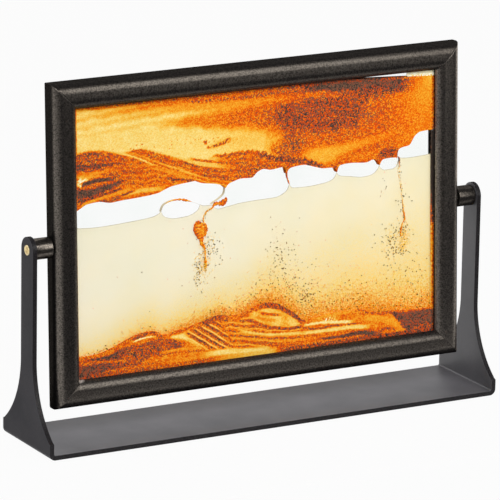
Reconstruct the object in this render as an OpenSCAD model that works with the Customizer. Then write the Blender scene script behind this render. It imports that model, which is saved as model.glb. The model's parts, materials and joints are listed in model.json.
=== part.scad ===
// Moving sand picture: a sealed glass cell of liquid and sand in a mitred frame,
// which turns over on two pivots in a stand bent from one sheet.
// Millimetres, +Z up, +X to the right, front towards -Y, origin under the middle of the stand.

/* [Frame] */
// Outer width of the frame
frame_w = 284; // [220:1:360]
// Outer height of the frame
frame_h = 200; // [150:1:260]
// Face width of the moulding
rail_w = 17.5; // [16:0.5:24]
// Depth of the moulding from front to back
rail_d = 17; // [15:0.5:24]
// Radius of the moulding's rounded edges
rail_edge_r = 6.8; // [3:0.1:7.2]
// Lean of the frame to the back where friction holds it, in degrees
rest_lean = 2.7; // [0:0.1:10]

/* [Glass cell] */
// Thickness of each pane
pane_t = 2; // [1.5:0.1:2.5]
// Space between the panes
cell_gap = 4; // [3:0.5:5]
// How far the panes reach into the rails
seat_depth = 6; // [4:0.5:6.5]
// Width of the seal between the panes
seal_w = 4.5; // [4:0.5:7]
// Thickness of the packing strips round the cell
packing_t = 0.8; // [0.5:0.1:1.2]
// Clearance round the cell and the packing in the rails' grooves
groove_clear = 0.1; // [0.05:0.05:0.2]
// Diameter of the filling hole's plug
plug_d = 2.6; // [1.5:0.1:2.8]
// Clearance round the plug in its hole
plug_clear = 0.05; // [0.02:0.01:0.1]
// Distance of the plug from the right-hand end of the cell
plug_inset = 40; // [10:1:120]

/* [Corner keys] */
// Length of each leg of a key
key_leg = 26; // [18:1:40]
// Width of a key's leg
key_w = 5; // [3:0.5:6]
// Thickness of a key
key_t = 1.5; // [1:0.1:2.5]
// Clearance round a key in its slots
key_clear = 0.1; // [0.05:0.05:0.2]

/* [Stand] */
// Thickness of the bent sheet
sheet_t = 3; // [2:0.1:4]
// Inside radius of the bends
bend_r = 1; // [0.5:0.5:5]
// Depth of the base from front to back
base_d = 64; // [50:1:90]
// Width of the arms above the flare
arm_w = 16; // [13.6:0.2:20]
// Height of the upright edge at the ends of the feet
foot_h = 10; // [6:0.1:20]
// Level step at the tips of the feet
foot_tip = 0.6; // [0.2:0.1:2]
// Radius of the hollow flare between foot and arm
flare_r = 56; // [40:1:70]
// Gap between the base and the frame as it swings through
swing_gap = 20.3; // [8:0.1:60]
// Gap between each arm and the side of the frame
side_gap = 12; // [8:0.5:25]
// Diameter of the foot pads
pad_d = 10; // [6:1:16]
// Thickness of the foot pads
pad_t = 0.8; // [0.5:0.1:3]
// Distance from the pads' centres to the edges of the base
pad_inset = 12; // [10:1:20]

/* [Pivots] */
// Diameter of the spacers
spacer_d = 13; // [9:0.5:13.5]
// Gap between spacer and stile that lets the frame turn
turn_gap = 0.2; // [0.1:0.05:0.4]
// Diameter of the pins in the arms and spacers
pin_d = 6.4; // [5.5:0.1:7]
// How far the pins stand out of the arms
pin_stand_out = 0.3; // [0.1:0.1:1]
// Diameter of the dish in the pins' outer ends
dish_d = 4.6; // [3:0.1:5]
// Depth of the dish
dish_depth = 0.9; // [0.4:0.1:1.5]
// Clearance round the pins in the arms and spacers
pin_clear = 0.05; // [0.02:0.01:0.1]
// Diameter of the pins' journals in the bushes
journal_d = 5; // [4:0.1:5.4]
// Length of the journals inside the stiles
journal_len = 7.5; // [5:0.5:8]
// Running clearance between journal and bush
journal_clear = 0.05; // [0.02:0.01:0.1]
// Wall of the bushes
bush_wall = 1.2; // [0.8:0.1:2]
// Clearance round the bushes in the stiles
bush_clear = 0.02; // [0.01:0.01:0.05]
// Space past the journals' ends
bush_end_gap = 0.5; // [0.3:0.1:0.8]

/* [Sand and bubbles] */
// Depth of the sand bed in its hollows
bed_depth = 15; // [6:1:24]
// Height of the band of bubbles above the middle of the cell
band_z = 20.5; // [0:0.5:40]
// Rise of the band of bubbles to the right, in degrees
band_rise = 4.3; // [0:0.1:8]
// Thickness of the threads of falling sand
thread_t = 1.5; // [1:0.1:2]
// Width of the threads of falling sand
thread_w = 1.6; // [1:0.1:3]

/* [Hidden] */
$fn = 64;

// Cutters run this far past the faces that they cut
over = 1;

// Sizes of the stand that follow from the frame
stand_w = frame_w + 2 * (side_gap + sheet_t);
arm_in = stand_w / 2 - sheet_t;
base_top = pad_t + sheet_t;
pivot_z = base_top + swing_gap + frame_h / 2;
arm_top = pivot_z + arm_w / 2;
bend_out_r = bend_r + sheet_t;
flare_out = (base_d - arm_w) / 2 - foot_tip;
flare_top = pad_t + foot_h + sqrt(pow(flare_r, 2) - pow(flare_r - flare_out, 2));
pin_hole_d = pin_d + 2 * pin_clear;
spacer_len = side_gap - turn_gap;

// Sizes of the cell that follow from the frame
groove_t = 2 * pane_t + cell_gap + 2 * groove_clear;
groove_depth = seat_depth + packing_t + 2 * groove_clear;
pane_w = frame_w - 2 * (rail_w - seat_depth);
pane_h = frame_h - 2 * (rail_w - seat_depth);
inner_w = pane_w - 2 * seal_w;
inner_h = pane_h - 2 * seal_w;
key_inset = (rail_w - groove_depth - key_w) / 2;
bush_d = journal_d + 2 * journal_clear + 2 * bush_wall;
bush_len = journal_len + bush_end_gap;

// Dunes of the sand bed: each is a hump at x, so high and so wide
dunes = [[-76, 10, 14], [-26, 13, 24], [8, 12, 13], [56, 6, 20]];
dune_step = 2.5;

// Air bubbles along the band: distance along it, height off it, half length and half height
bubbles = [
  [-74, 4, 49, 7], [-54, -4.5, 12, 3.6], [-1, 2.6, 22, 8.4], [38, 2.6, 16.5, 7],
  [71, -0.4, 14.5, 5], [94, -1.5, 7, 3.6], [115, 6.6, 18, 8]
];
bubble_power = 2.6;
bubble_points = 28;

// Threads of falling sand: place across the cell, start below the band, length, and radius of the drop
threads = [[-38, 11.5, 36, 3.6], [101, 14, 40, 2.4]];
function thread_top(t) = band_z + t[0] * tan(band_rise) - t[1];

// Points of the sand bed's surface, from left to right
function bed_z(x) = bed_depth - inner_h / 2
  + [for (d = dunes) d[1] * exp(-pow((x - d[0]) / d[2], 2))] * [for (d = dunes) 1];
bed_count = ceil(inner_w / dune_step);
bed_line = [for (i = [0:bed_count]) let (x = inner_w * (i / bed_count - 0.5)) [x, bed_z(x)]];

// Point of a rounded oval at an angle, from its half length and half height
function oval(a, long, high) = [
  long * sign(cos(a)) * pow(abs(cos(a)), 2 / bubble_power),
  high * sign(sin(a)) * pow(abs(sin(a)), 2 / bubble_power)
];

// Rounded rectangle about its centre
module rounded_rect(w, d, r) {
  square([w - 2 * r, d], center = true);
  square([w, d - 2 * r], center = true);
  for (x = [-1, 1], y = [-1, 1])
    translate([x * (w / 2 - r), y * (d / 2 - r)]) circle(r);
}

// Puts a flat drawing upright in the picture's plane, t thick about its middle
module upright(t) {
  rotate([90, 0, 0]) linear_extrude(t, center = true) children();
}

// Carries the picture to its pivots, at its lean
module hung() {
  translate([0, 0, pivot_z]) rotate([-rest_lean, 0, 0]) children();
}

// Turns what is drawn along +Z on the pivot axis towards a side: -1 left, 1 right
module on_pivot(side) {
  translate([0, 0, pivot_z]) rotate([0, side * 90, 0]) children();
}

// Outline of the base and the feet seen from the end, with the flare and the arm's round top
module arm_outline() {
  translate([-base_d / 2, 0]) square([base_d, pad_t + foot_h]);
  difference() {
    translate([-base_d / 2, foot_h - over]) square([base_d, flare_top - foot_h + over]);
    for (side = [-1, 1])
      translate([side * (arm_w / 2 + flare_r), flare_top]) circle(flare_r, $fn = 128);
  }
  translate([-arm_w / 2, flare_top]) square([arm_w, pivot_z - flare_top]);
  translate([0, pivot_z]) circle(arm_w / 2);
}

// Trough with round lower corners, from its half width, floor, top and corner radius
module trough(half_w, floor, top, r) {
  translate([-half_w, floor + r]) square([2 * half_w, top - floor - r]);
  translate([-half_w + r, floor]) square([2 * (half_w - r), r]);
  for (side = [-1, 1])
    translate([side * (half_w - r), floor + r]) circle(r);
}

// One sheet bent into base and arms
module stand_bracket() {
  color("#2c2b2e") difference() {
    intersection() {
      upright(base_d + 2 * over) difference() {
        trough(stand_w / 2, pad_t, arm_top + over, bend_out_r);
        trough(arm_in, base_top, arm_top + 2 * over, bend_r);
      }
      rotate([90, 0, 90]) linear_extrude(stand_w + 2 * over, center = true) arm_outline();
    }
    on_pivot(1) cylinder(d = pin_hole_d, h = stand_w + 2 * over, center = true);
  }
}

// Thin round pads near the corners of the base
module foot_pads() {
  color("#1c1c1c")
    for (x = [-1, 1], y = [-1, 1])
      translate([x * (stand_w / 2 - pad_inset), y * (base_d / 2 - pad_inset), 0])
        cylinder(d = pad_d, h = pad_t);
}

// Boss that keeps the frame clear of one arm
module spacer(side) {
  color("#262424") on_pivot(side) translate([0, 0, arm_in - spacer_len]) difference() {
    cylinder(d = spacer_d, h = spacer_len);
    translate([0, 0, -over]) cylinder(d = pin_hole_d, h = spacer_len + 2 * over);
  }
}

module left_spacer() { spacer(-1); }
module right_spacer() { spacer(1); }

// Pin with a dished outer end, a shank in arm and spacer, and a journal in the stile
module pivot_pin(side) {
  tip = frame_w / 2 - journal_len;
  shoulder = arm_in - spacer_len;
  end = stand_w / 2 + pin_stand_out;
  color("#d8b04c") on_pivot(side) rotate_extrude()
    polygon([
      [0, tip], [journal_d / 2, tip], [journal_d / 2, shoulder], [pin_d / 2, shoulder],
      [pin_d / 2, end], [dish_d / 2, end], [0, end - dish_depth]
    ]);
}

module left_pivot_pin() { pivot_pin(-1); }
module right_pivot_pin() { pivot_pin(1); }

// Section of the moulding, outer side up at the origin, with the groove for the cell
module rail_section() {
  difference() {
    translate([0, -rail_w / 2]) rounded_rect(rail_d, rail_w, rail_edge_r);
    translate([-groove_t / 2, -rail_w - over]) square([groove_t, groove_depth + over]);
  }
}

// Length of moulding along X, mitred at both ends, with slots for the corner keys
module moulding(length) {
  slot = key_leg + key_inset + key_clear;
  difference() {
    intersection() {
      rotate([90, 0, 90]) linear_extrude(length, center = true) rail_section();
      upright(rail_d + 2 * over) polygon([
        [-length / 2, 0], [length / 2, 0],
        [length / 2 - rail_w, -rail_w], [-length / 2 + rail_w, -rail_w]
      ]);
    }
    for (side = [-1, 1])
      translate([side * (length / 2 - slot / 2), 0, -key_inset - key_w / 2])
        cube([slot, key_t + 2 * key_clear, key_w + 2 * key_clear], center = true);
  }
}

// Upright length of moulding, with the blind hole for its bush
module stile(side) {
  color("#232121") hung() rotate([0, side * 90, 0]) difference() {
    translate([0, 0, frame_w / 2]) moulding(frame_h);
    translate([0, 0, frame_w / 2 - bush_len]) cylinder(d = bush_d + 2 * bush_clear, h = bush_len + over);
  }
}

module top_rail() {
  color("#232121") hung() translate([0, 0, frame_h / 2]) moulding(frame_w);
}

module bottom_rail() {
  color("#232121") hung() rotate([0, 180, 0]) translate([0, 0, frame_h / 2]) moulding(frame_w);
}

module left_stile() { stile(-1); }
module right_stile() { stile(1); }

// Flat angle plate in each corner, at the middle of the moulding's depth
module corner_keys() {
  color("#9a9a9a") hung() upright(key_t)
    for (x = [0, 1], z = [0, 1])
      mirror([x, 0]) mirror([0, z])
        translate([frame_w / 2 - key_inset, frame_h / 2 - key_inset])
          polygon([
            [0, 0], [0, -key_leg], [-key_w, -key_leg],
            [-key_w, -key_w], [-key_leg, -key_w], [-key_leg, 0]
          ]);
}

// Sleeve that lines one stile's hole and turns on the pin
module bush(side) {
  color("#e6e2d6") on_pivot(side) translate([0, 0, frame_w / 2 - bush_len]) difference() {
    cylinder(d = bush_d, h = bush_len);
    translate([0, 0, -over]) cylinder(d = journal_d + 2 * journal_clear, h = bush_len + 2 * over);
  }
}

module left_bush() { bush(-1); }
module right_bush() { bush(1); }

// One sheet of glass, in front or behind
module pane(side) {
  color([0.9, 0.95, 0.95, 0.3]) hung() translate([0, side * (cell_gap + pane_t) / 2, 0])
    upright(pane_t) square([pane_w, pane_h], center = true);
}

module front_pane() { pane(-1); }
module rear_pane() { pane(1); }

// Filling hole or its plug, down through the top of the seal, running past it at both ends
module filler(d, past) {
  translate([pane_w / 2 - plug_inset, 0, inner_h / 2 - past]) cylinder(d = d, h = seal_w + 2 * past);
}

// Ring of seal between the panes, with the filling hole
module edge_seal() {
  color("#3a2c22") hung() difference() {
    upright(cell_gap) difference() {
      square([pane_w, pane_h], center = true);
      square([inner_w, inner_h], center = true);
    }
    filler(plug_d + 2 * plug_clear, over);
  }
}

module filler_plug() {
  color("#555555") hung() filler(plug_d, 0);
}

// Strips between the cell's edges and the floors of the grooves
module packing_strips() {
  out = packing_t / 2 + groove_clear;
  color("#6f6a60") hung() upright(cell_gap) {
    for (side = [-1, 1]) {
      translate([0, side * (pane_h / 2 + out)]) square([pane_w, packing_t], center = true);
      translate([side * (pane_w / 2 + out), 0]) square([packing_t, pane_h], center = true);
    }
  }
}

// Space inside the seal that lies above or below the band of bubbles: 1 above, -1 below
module inner_side(side) {
  reach = inner_w + inner_h;
  intersection() {
    square([inner_w, inner_h], center = true);
    translate([0, band_z]) rotate(band_rise) translate([0, side * reach / 2])
      square([2 * reach, reach], center = true);
  }
}

// All the air bubbles, along the band
module bubble_shapes() {
  translate([0, band_z]) rotate(band_rise)
    for (b = bubbles)
      translate([b[0], b[1]])
        polygon([for (i = [0:bubble_points - 1]) oval(360 * i / bubble_points, b[2], b[3])]);
}

// Space under the sand bed's surface
module bed_shape() {
  polygon(concat(bed_line, [[inner_w / 2, -inner_h / 2], [-inner_w / 2, -inner_h / 2]]));
}

// Threads of sand against the front pane, each with a drop on it
module thread_shapes() {
  translate([0, (thread_t - cell_gap) / 2, 0]) upright(thread_t)
    for (t = threads) {
      translate([t[0] - thread_w / 2, thread_top(t) - t[2]]) square([thread_w, t[2]]);
      translate([t[0], thread_top(t) - t[2] / 3]) circle(t[3]);
    }
}

// Liquid with the bubbles, the sand bed and the threads left out of it
module liquid() {
  color([0.98, 0.9, 0.66, 0.5]) hung() difference() {
    upright(cell_gap) difference() {
      inner_side(-1);
      bubble_shapes();
      bed_shape();
    }
    thread_shapes();
  }
}

module upper_sand() {
  color("#e98a22") hung() upright(cell_gap) difference() {
    inner_side(1);
    bubble_shapes();
  }
}

module sand_bed() {
  color("#b4551a") hung() upright(cell_gap) bed_shape();
}

module falling_sand() {
  color("#7a3a12") hung() thread_shapes();
}

stand_bracket();
foot_pads();
left_spacer();
right_spacer();
left_pivot_pin();
right_pivot_pin();
top_rail();
bottom_rail();
left_stile();
right_stile();
corner_keys();
left_bush();
right_bush();
front_pane();
rear_pane();
edge_seal();
filler_plug();
packing_strips();
liquid();
upper_sand();
sand_bed();
falling_sand();
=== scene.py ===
"""Looks of a moving sand picture: a glass cell of liquid and sand in a black mitred frame
that turns over on two pivots in a stand bent from one sheet.
Runs in Blender as a script, laid out as an add-on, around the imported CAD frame."""
import json
import math

import bmesh
import bpy
import numpy as np
from bpy.props import FloatProperty, FloatVectorProperty, PointerProperty
from mathutils import Matrix, Vector


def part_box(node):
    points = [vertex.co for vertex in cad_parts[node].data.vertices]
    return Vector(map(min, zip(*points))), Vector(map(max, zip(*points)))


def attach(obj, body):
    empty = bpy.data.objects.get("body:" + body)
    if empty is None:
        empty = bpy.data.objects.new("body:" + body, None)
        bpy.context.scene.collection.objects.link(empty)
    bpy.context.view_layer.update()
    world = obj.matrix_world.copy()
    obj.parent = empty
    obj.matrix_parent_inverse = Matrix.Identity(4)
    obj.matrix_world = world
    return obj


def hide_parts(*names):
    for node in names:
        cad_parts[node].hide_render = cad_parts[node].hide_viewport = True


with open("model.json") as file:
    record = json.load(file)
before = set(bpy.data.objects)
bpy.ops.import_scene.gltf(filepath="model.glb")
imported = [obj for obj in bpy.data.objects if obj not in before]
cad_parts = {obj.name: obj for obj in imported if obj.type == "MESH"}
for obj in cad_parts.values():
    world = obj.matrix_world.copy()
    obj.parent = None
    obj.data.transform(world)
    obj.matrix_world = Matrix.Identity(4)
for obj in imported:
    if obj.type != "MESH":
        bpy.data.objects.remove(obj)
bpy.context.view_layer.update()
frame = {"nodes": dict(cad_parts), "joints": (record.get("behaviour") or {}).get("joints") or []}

bl_info = {
    "name": "Moving Sand Picture",
    "version": (1, 0, 0),
    "blender": (4, 5, 0),
    "location": "3D View > Sidebar > Sand Picture",
    "description": "Builds the looks of a sand picture that turns over in a bent stand",
    "category": "Object",
}

# Measures taken from the CAD frame, in metres
PIVOT = np.array(frame["joints"][0]["pos_m"], float)
MM = 0.001


def node_points(name):
    """Corners of a CAD node's mesh, each once, in metres."""
    mesh = frame["nodes"][name].data
    co = np.empty(len(mesh.vertices) * 3)
    mesh.vertices.foreach_get("co", co)
    return np.unique(co.reshape(-1, 3).round(7), axis=0)


def find_lean():
    """Lean of the picture to the back: the long axis of the front pane seen from the side."""
    seen = node_points("front_pane")[:, 1:]
    axis = np.linalg.eigh(np.cov(seen.T))[1][:, 1]
    axis = axis * np.sign(axis[1])
    return math.atan2(axis[0], axis[1])


LEAN = find_lean()


def hang(points):
    """Carries points of the upright picture, about the pivot, to the row frame: leaned, then moved to the
    pivot."""
    x, y, z = np.moveaxis(np.asarray(points, float), -1, 0)
    c, s = math.cos(LEAN), math.sin(LEAN)
    return np.stack([x, y * c + z * s, z * c - y * s], -1) + PIVOT


def flat_box(*names):
    """Lowest and highest corner of CAD nodes in the upright picture, about the pivot."""
    x, y, z = (np.concatenate([node_points(n) for n in names]) - PIVOT).T
    c, s = math.cos(LEAN), math.sin(LEAN)
    flat = np.stack([x, y * c - z * s, y * s + z * c], -1)
    return flat.min(0), flat.max(0)


RAILS = flat_box("top_rail", "bottom_rail", "left_stile", "right_stile")
TOP_RAIL = flat_box("top_rail")
GLASS = flat_box("front_pane", "rear_pane")
CELL = flat_box("upper_sand", "sand_bed")
STAND = [np.array(v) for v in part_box("stand_bracket")]
SPACER = [np.array(v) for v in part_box("right_spacer")]
PIN = [np.array(v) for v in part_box("right_pivot_pin")]


def srgb(r, g, b):
    """Scene-linear colour of a screen colour given from 0 to 255."""
    c = np.array([r, g, b]) / 255
    return tuple(np.where(c <= 0.04045, c / 12.92, ((c + 0.055) / 1.055) ** 2.4).tolist())


def length(name, description, default):
    """Property for a length in metres."""
    return FloatProperty(
        name=name, description=description, default=float(default), min=0.0, precision=5, unit="LENGTH")


def angle(name, description, degrees):
    """Property for an angle."""
    return FloatProperty(name=name, description=description, default=math.radians(degrees), unit="ROTATION")


def share(name, description, default):
    """Property for a share of 1."""
    return FloatProperty(
        name=name, description=description, default=default, min=0.0, max=1.0, subtype="FACTOR")


def tint(name, description, default):
    """Property for a scene-linear colour."""
    return FloatVectorProperty(
        name=name, description=description, default=default, min=0.0, max=1.0, size=3, subtype="COLOR")


class SandMouldingSettings(bpy.types.PropertyGroup):
    """Sizes and finish of the frame's four lengths of moulding."""
    edge_radius: length("Edge Radius", "Radius of the moulding's rounded edges", 6.8 * MM)
    groove_clear: length("Groove Clearance", "Space between the panes and the groove's sides", 0.1 * MM)
    groove_depth: length("Groove Depth", "Depth of the groove from the moulding's inner side", 7.0 * MM)
    mitre_ease: length("Mitre Ease", "How far the edges of the mitres are eased", 0.3 * MM)
    colour: tint("Colour", "Colour of the moulding", srgb(18, 17, 17))
    pale: tint("Pale Colour", "Paler colour of the moulding's grain", srgb(28, 26, 26))
    # Pale colour of the mitres' edges and of a corner spot, also used for the painted highlight on the
    # stiles' inner lips
    highlight_and_pale_mark: tint("Worn Colour", "Colour of the worn edges of the mitres", srgb(150, 144, 138))
    shine: tint("Shine", "Colour of the shine on the crown", (1.0, 0.88, 0.76))


class SandStandSettings(bpy.types.PropertyGroup):
    """Sizes and finish of the bent stand."""
    sheet: length("Sheet", "Thickness of the sheet", 3.0 * MM)
    bend_radius: length("Bend Radius", "Inside radius of the bends", 1.0 * MM)
    arm_width: length("Arm Width", "Width of the arms above the flare", 16.0 * MM)
    foot_height: length("Foot Height", "Upright edge at the ends of the feet", 10.0 * MM)
    foot_tip: length("Foot Tip", "Level step at the tips of the feet", 0.6 * MM)
    flare_radius: length("Flare Radius", "Radius of the hollow flare", 56.0 * MM)
    pin_hole: length("Pin Hole", "Diameter of the pin's hole in the arms", 6.5 * MM)
    edge_ease: length("Edge Ease", "Bevel on the sheet's edges", 0.3 * MM)
    colour: tint("Colour", "Colour of the paint", srgb(84, 83, 87))
    pale: tint("Pale Colour", "Paler colour of the paint's grain", srgb(104, 102, 106))
    # Edge colours: painted shade, near black on the sheet's edges for the shade on those facing the front
    edge: tint("Edge Colour", "Colour of the sheet's cut edges", srgb(24, 22, 24))
    edge_pale: tint("Pale Edge Colour", "Paler colour of the cut edges' grain", srgb(40, 38, 40))


class SandPivotSettings(bpy.types.PropertyGroup):
    """Sizes and finish of spacers and pins."""
    spacer_ease: length("Spacer Ease", "Rounding of the spacers' edges", 0.5 * MM)
    bore_clear: length("Bore Clearance", "Space between the pins and the spacers' bores", 0.05 * MM)
    pin_ease: length("Pin Ease", "Easing of the pins' ends", 0.25 * MM)
    journal: length("Journal", "Diameter of the pins' journals", 5.0 * MM)
    shank: length("Shank", "Diameter of the pins' shanks", 6.4 * MM)
    dish: length("Dish", "Diameter of the dish in the pins' ends", 4.6 * MM)
    dish_depth: length("Dish Depth", "Depth of the dish", 0.9 * MM)
    brass: tint("Brass", "Colour of the pins", srgb(226, 184, 104))
    dish_brass: tint("Dish Brass", "Darker colour of the brass's grain", srgb(190, 140, 66))
    # Painted highlight: the rim round the dish is coloured near white and shines most
    rim_highlight_brass: tint("Rim Brass", "Colour of the worn rim round the dish", srgb(252, 244, 222))
    brass_shine: tint("Brass Shine", "Colour of the shine on the brass", (1.0, 0.82, 0.45))
    plastic: tint("Plastic", "Colour of the spacers", srgb(20, 18, 18))
    plastic_pale: tint("Pale Plastic", "Paler colour of the spacers' grain", srgb(30, 28, 27))


class SandPatternSettings(bpy.types.PropertyGroup):
    """Grain and colours of the sand, from its palest to its darkest tone."""
    grain: length("Grain", "Size of the grains", 0.64 * MM)
    cream: tint("Cream", "Palest sand", srgb(255, 248, 225))
    straw: tint("Straw", "Pale yellow sand", srgb(254, 230, 160))
    yellow: tint("Yellow", "Yellow sand", srgb(250, 214, 114))
    amber: tint("Amber", "Amber sand", srgb(246, 178, 50))
    orange: tint("Orange", "Orange sand", srgb(240, 123, 13))
    red: tint("Red", "Red-orange sand", srgb(229, 80, 16))
    rust: tint("Rust", "Rust-coloured sand", srgb(182, 72, 34))
    umber: tint("Umber", "Brown sand", srgb(116, 86, 68))
    black: tint("Black", "Darkest sand", srgb(62, 53, 48))


class SandLiquidSettings(bpy.types.PropertyGroup):
    """Colours of the liquid and of the glass."""
    clear: tint("Clear", "Colour of the clear liquid", srgb(255, 248, 222))
    straw: tint("Straw", "Colour of liquid with a little fine sand in it", srgb(255, 235, 174))
    cloudy: tint("Cloudy", "Colour of liquid with fine sand in it", srgb(254, 215, 112))
    thick: tint("Thick", "Colour of liquid thick with sand", srgb(240, 156, 46))
    rim: tint("Rim", "Colour of the liquid's edge at the bubbles", srgb(136, 130, 102))
    glass: tint("Glass", "Tint of the panes", (0.985, 0.992, 0.988))


class SandStageSettings(bpy.types.PropertyGroup):
    """Camera, lamps and floor."""
    azimuth: angle("Azimuth", "Angle of the camera round the object", -29.259)
    elevation: angle("Elevation", "Height angle of the camera", 15.15)
    roll: angle("Roll", "Turn of the camera about its own axis", 1.007)
    lens: FloatProperty(
        name="Lens", description="Focal length in millimetres", default=330.14, min=1.0, unit="CAMERA")
    distance: length("Distance", "Distance of the camera from the pivots", 2.81379)
    aside: length("Aside", "How far the pivots lie right of the view's middle", 0.00408)
    above: length("Above", "How far the pivots lie above the view's middle", 0.017528)
    floor: tint("Floor", "Colour of the floor", (0.42, 0.42, 0.42))
    floor_pale: tint("Pale Floor", "Paler colour of the floor's clouds", (0.4284, 0.4284, 0.4284))
    floor_white: share("White Floor", "Whiteness of the floor where it is seen", 0.96)
    white: share("White", "Strength of the world where it is seen", 0.973)
    ambient: share("Ambient", "Strength of the world as a light from all round", 0.28)
    ambient_shine: share("Ambient Shine", "Part of the ambient light that shines on surfaces in front", 0.18)


# Mesh helpers
def smooth(low, high, v):
    """Smooth step from 0 at low to 1 at high."""
    t = np.clip((v - low) / (high - low), 0, 1)
    return t * t * (3 - 2 * t)


def line(x, points):
    """Heights at x of the smooth curve through points: a cubic on each stretch, level at its tops and
    hollows."""
    px, pz = np.array(points, float).T
    step = np.diff(px)
    rise = np.diff(pz) / step
    slope = np.concatenate([rise[:1], np.zeros(len(px) - 2), rise[-1:]])
    w1, w2 = 2 * step[1:] + step[:-1], step[1:] + 2 * step[:-1]
    same = rise[1:] * rise[:-1] > 0
    a, b = np.where(same, rise[:-1], 1), np.where(same, rise[1:], 1)
    slope[1:-1] = np.where(same, (w1 + w2) / (w1 / a + w2 / b), 0)
    i = np.clip(np.searchsorted(px, x) - 1, 0, len(px) - 2)
    t = np.clip((x - px[i]) / step[i], 0, 1)
    return (
        (1 + 2 * t) * (1 - t) ** 2 * pz[i]
        + t * (1 - t) ** 2 * step[i] * slope[i]
        + t * t * (3 - 2 * t) * pz[i + 1]
        + t * t * (t - 1) * step[i] * slope[i + 1]
    )


def stitched(x, stretches):
    """Heights at x of smooth stretches that meet at corners, each starting where the one before it ends."""
    z = line(x, stretches[0])
    for points in stretches[1:]:
        z = np.where(x >= points[0][0], line(x, points), z)
    return z


def columns(low, high, count, corners=()):
    """Places across the cell: evenly spread, with closer ones about corners."""
    near = np.linspace(-1.3, 1.3, 11)
    x = np.concatenate([np.linspace(low, high, count)] + [c + near for c in corners])
    x = np.unique(x[(x >= low) & (x <= high)].round(4))
    return x[np.concatenate([[True], np.diff(x) > 0.03])]


def quads(index):
    """Faces of a grid of vertex numbers."""
    return np.stack([index[:-1, :-1], index[:-1, 1:], index[1:, 1:], index[1:, :-1]], -1).reshape(-1, 4)


def sheet(points, closed=False):
    """Points and faces of a grid of points, whose rows may close on themselves."""
    index = np.arange(points[..., 0].size).reshape(points.shape[:2])
    if closed:
        index = np.concatenate([index, index[:, :1]], 1)
    return points.reshape(-1, 3), quads(index)


def slab(x, low, high, rows, front, back):
    """Closed slab between two curves: a grid over x and over rows, the shares of the way from low to high,
    once in front and once behind. Also gives the grid's x and z."""
    z = low + (high - low) * np.asarray(rows)[:, None]
    across = np.broadcast_to(x, z.shape)
    points = np.concatenate([
        np.stack([across, np.broadcast_to(y, z.shape), z], -1).reshape(-1, 3) for y in (front, back)])
    index = np.arange(z.size).reshape(z.shape)
    face = quads(index)
    loop = np.concatenate([index[0], index[1:, -1], index[-1, -2::-1], index[-2:0:-1, 0]])
    after = np.roll(loop, -1)
    side = np.stack([loop, loop + z.size, after + z.size, after], -1)
    return points, np.concatenate([face, face[:, ::-1] + z.size, side]), across, z


def sweep(path, wide, deep, middle, sides):
    """Oval carried along a path in the picture's plane: each station is the path's point plus its normal
    times wide times a cosine, and deep times a sine in depth."""
    along = np.gradient(path, axis=0)
    along /= np.linalg.norm(along, axis=1, keepdims=True) + 1e-12
    normal = np.stack([-along[:, 1], along[:, 0]], -1)
    turn = np.linspace(0, 2 * np.pi, sides, endpoint=False)
    flat = path[:, None] + normal[:, None] * (np.reshape(wide, (-1, 1)) * np.cos(turn))[..., None]
    depth = middle + np.reshape(deep, (-1, 1)) * np.sin(turn)
    return sheet(np.stack([flat[..., 0], depth, flat[..., 1]], -1), closed=True)


def curve(points, count):
    """Evenly counted points of a smooth curve through points in the plane: both coordinates are cubics of
    the length so far."""
    p = np.asarray(points, float)
    so_far = np.concatenate([[0], np.cumsum(np.linalg.norm(np.diff(p, axis=0), axis=1))])
    t = np.linspace(0, so_far[-1], count)
    return np.stack([line(t, np.stack([so_far, p[:, k]], -1)) for k in (0, 1)], -1)


def revolve(profile, side, sides=64):
    """Profile of distances from the middle and radii, turned about the pivot axis towards a side."""
    a, r = np.asarray(profile, float).T[..., None]
    turn = np.linspace(0, 2 * np.pi, sides, endpoint=False)
    ring = np.stack([side * a * np.ones(sides), r * np.cos(turn), r * np.sin(turn)], -1)
    return sheet(ring + PIVOT, closed=True)


def join(parts):
    """One set of points and faces from several."""
    start = np.cumsum([0] + [len(p) for p, f in parts[:-1]])
    return np.concatenate([p for p, f in parts]), np.concatenate([f + s for (p, f), s in zip(parts, start)])


def make_piece(name, points, faces, material, body, nodes=(), values=None, caps=(), merge=0.0,
               crease=40.0):
    """Makes a mesh piece of points and faces in the row frame, with named values at its points, riding on a
    body."""
    mesh = bpy.data.meshes.new(name)
    mesh.from_pydata(np.asarray(points).tolist(), [], np.asarray(faces).tolist() + [list(c) for c in caps])
    for key, value in (values or {}).items():
        layer = mesh.attributes.new(key, "FLOAT", "POINT")
        layer.data.foreach_set("value", np.ascontiguousarray(value, np.float32))
    bm = bmesh.new()
    bm.from_mesh(mesh)
    if merge:
        bmesh.ops.remove_doubles(bm, verts=bm.verts, dist=merge)
        bmesh.ops.dissolve_degenerate(bm, edges=bm.edges, dist=merge / 10)
    if bm.calc_volume(signed=True) < 0:
        bmesh.ops.reverse_faces(bm, faces=bm.faces)
    bm.to_mesh(mesh)
    bm.free()
    mesh.shade_smooth()
    mesh.set_sharp_from_angle(angle=math.radians(crease))
    mesh.materials.append(material)
    piece = bpy.data.objects.new(name, mesh)
    bpy.context.scene.collection.objects.link(piece)
    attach(piece, body)
    if nodes:
        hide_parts(*nodes)
    return piece


# Material helpers
WHITE = (1.0, 1.0, 1.0, 1.0)


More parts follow.
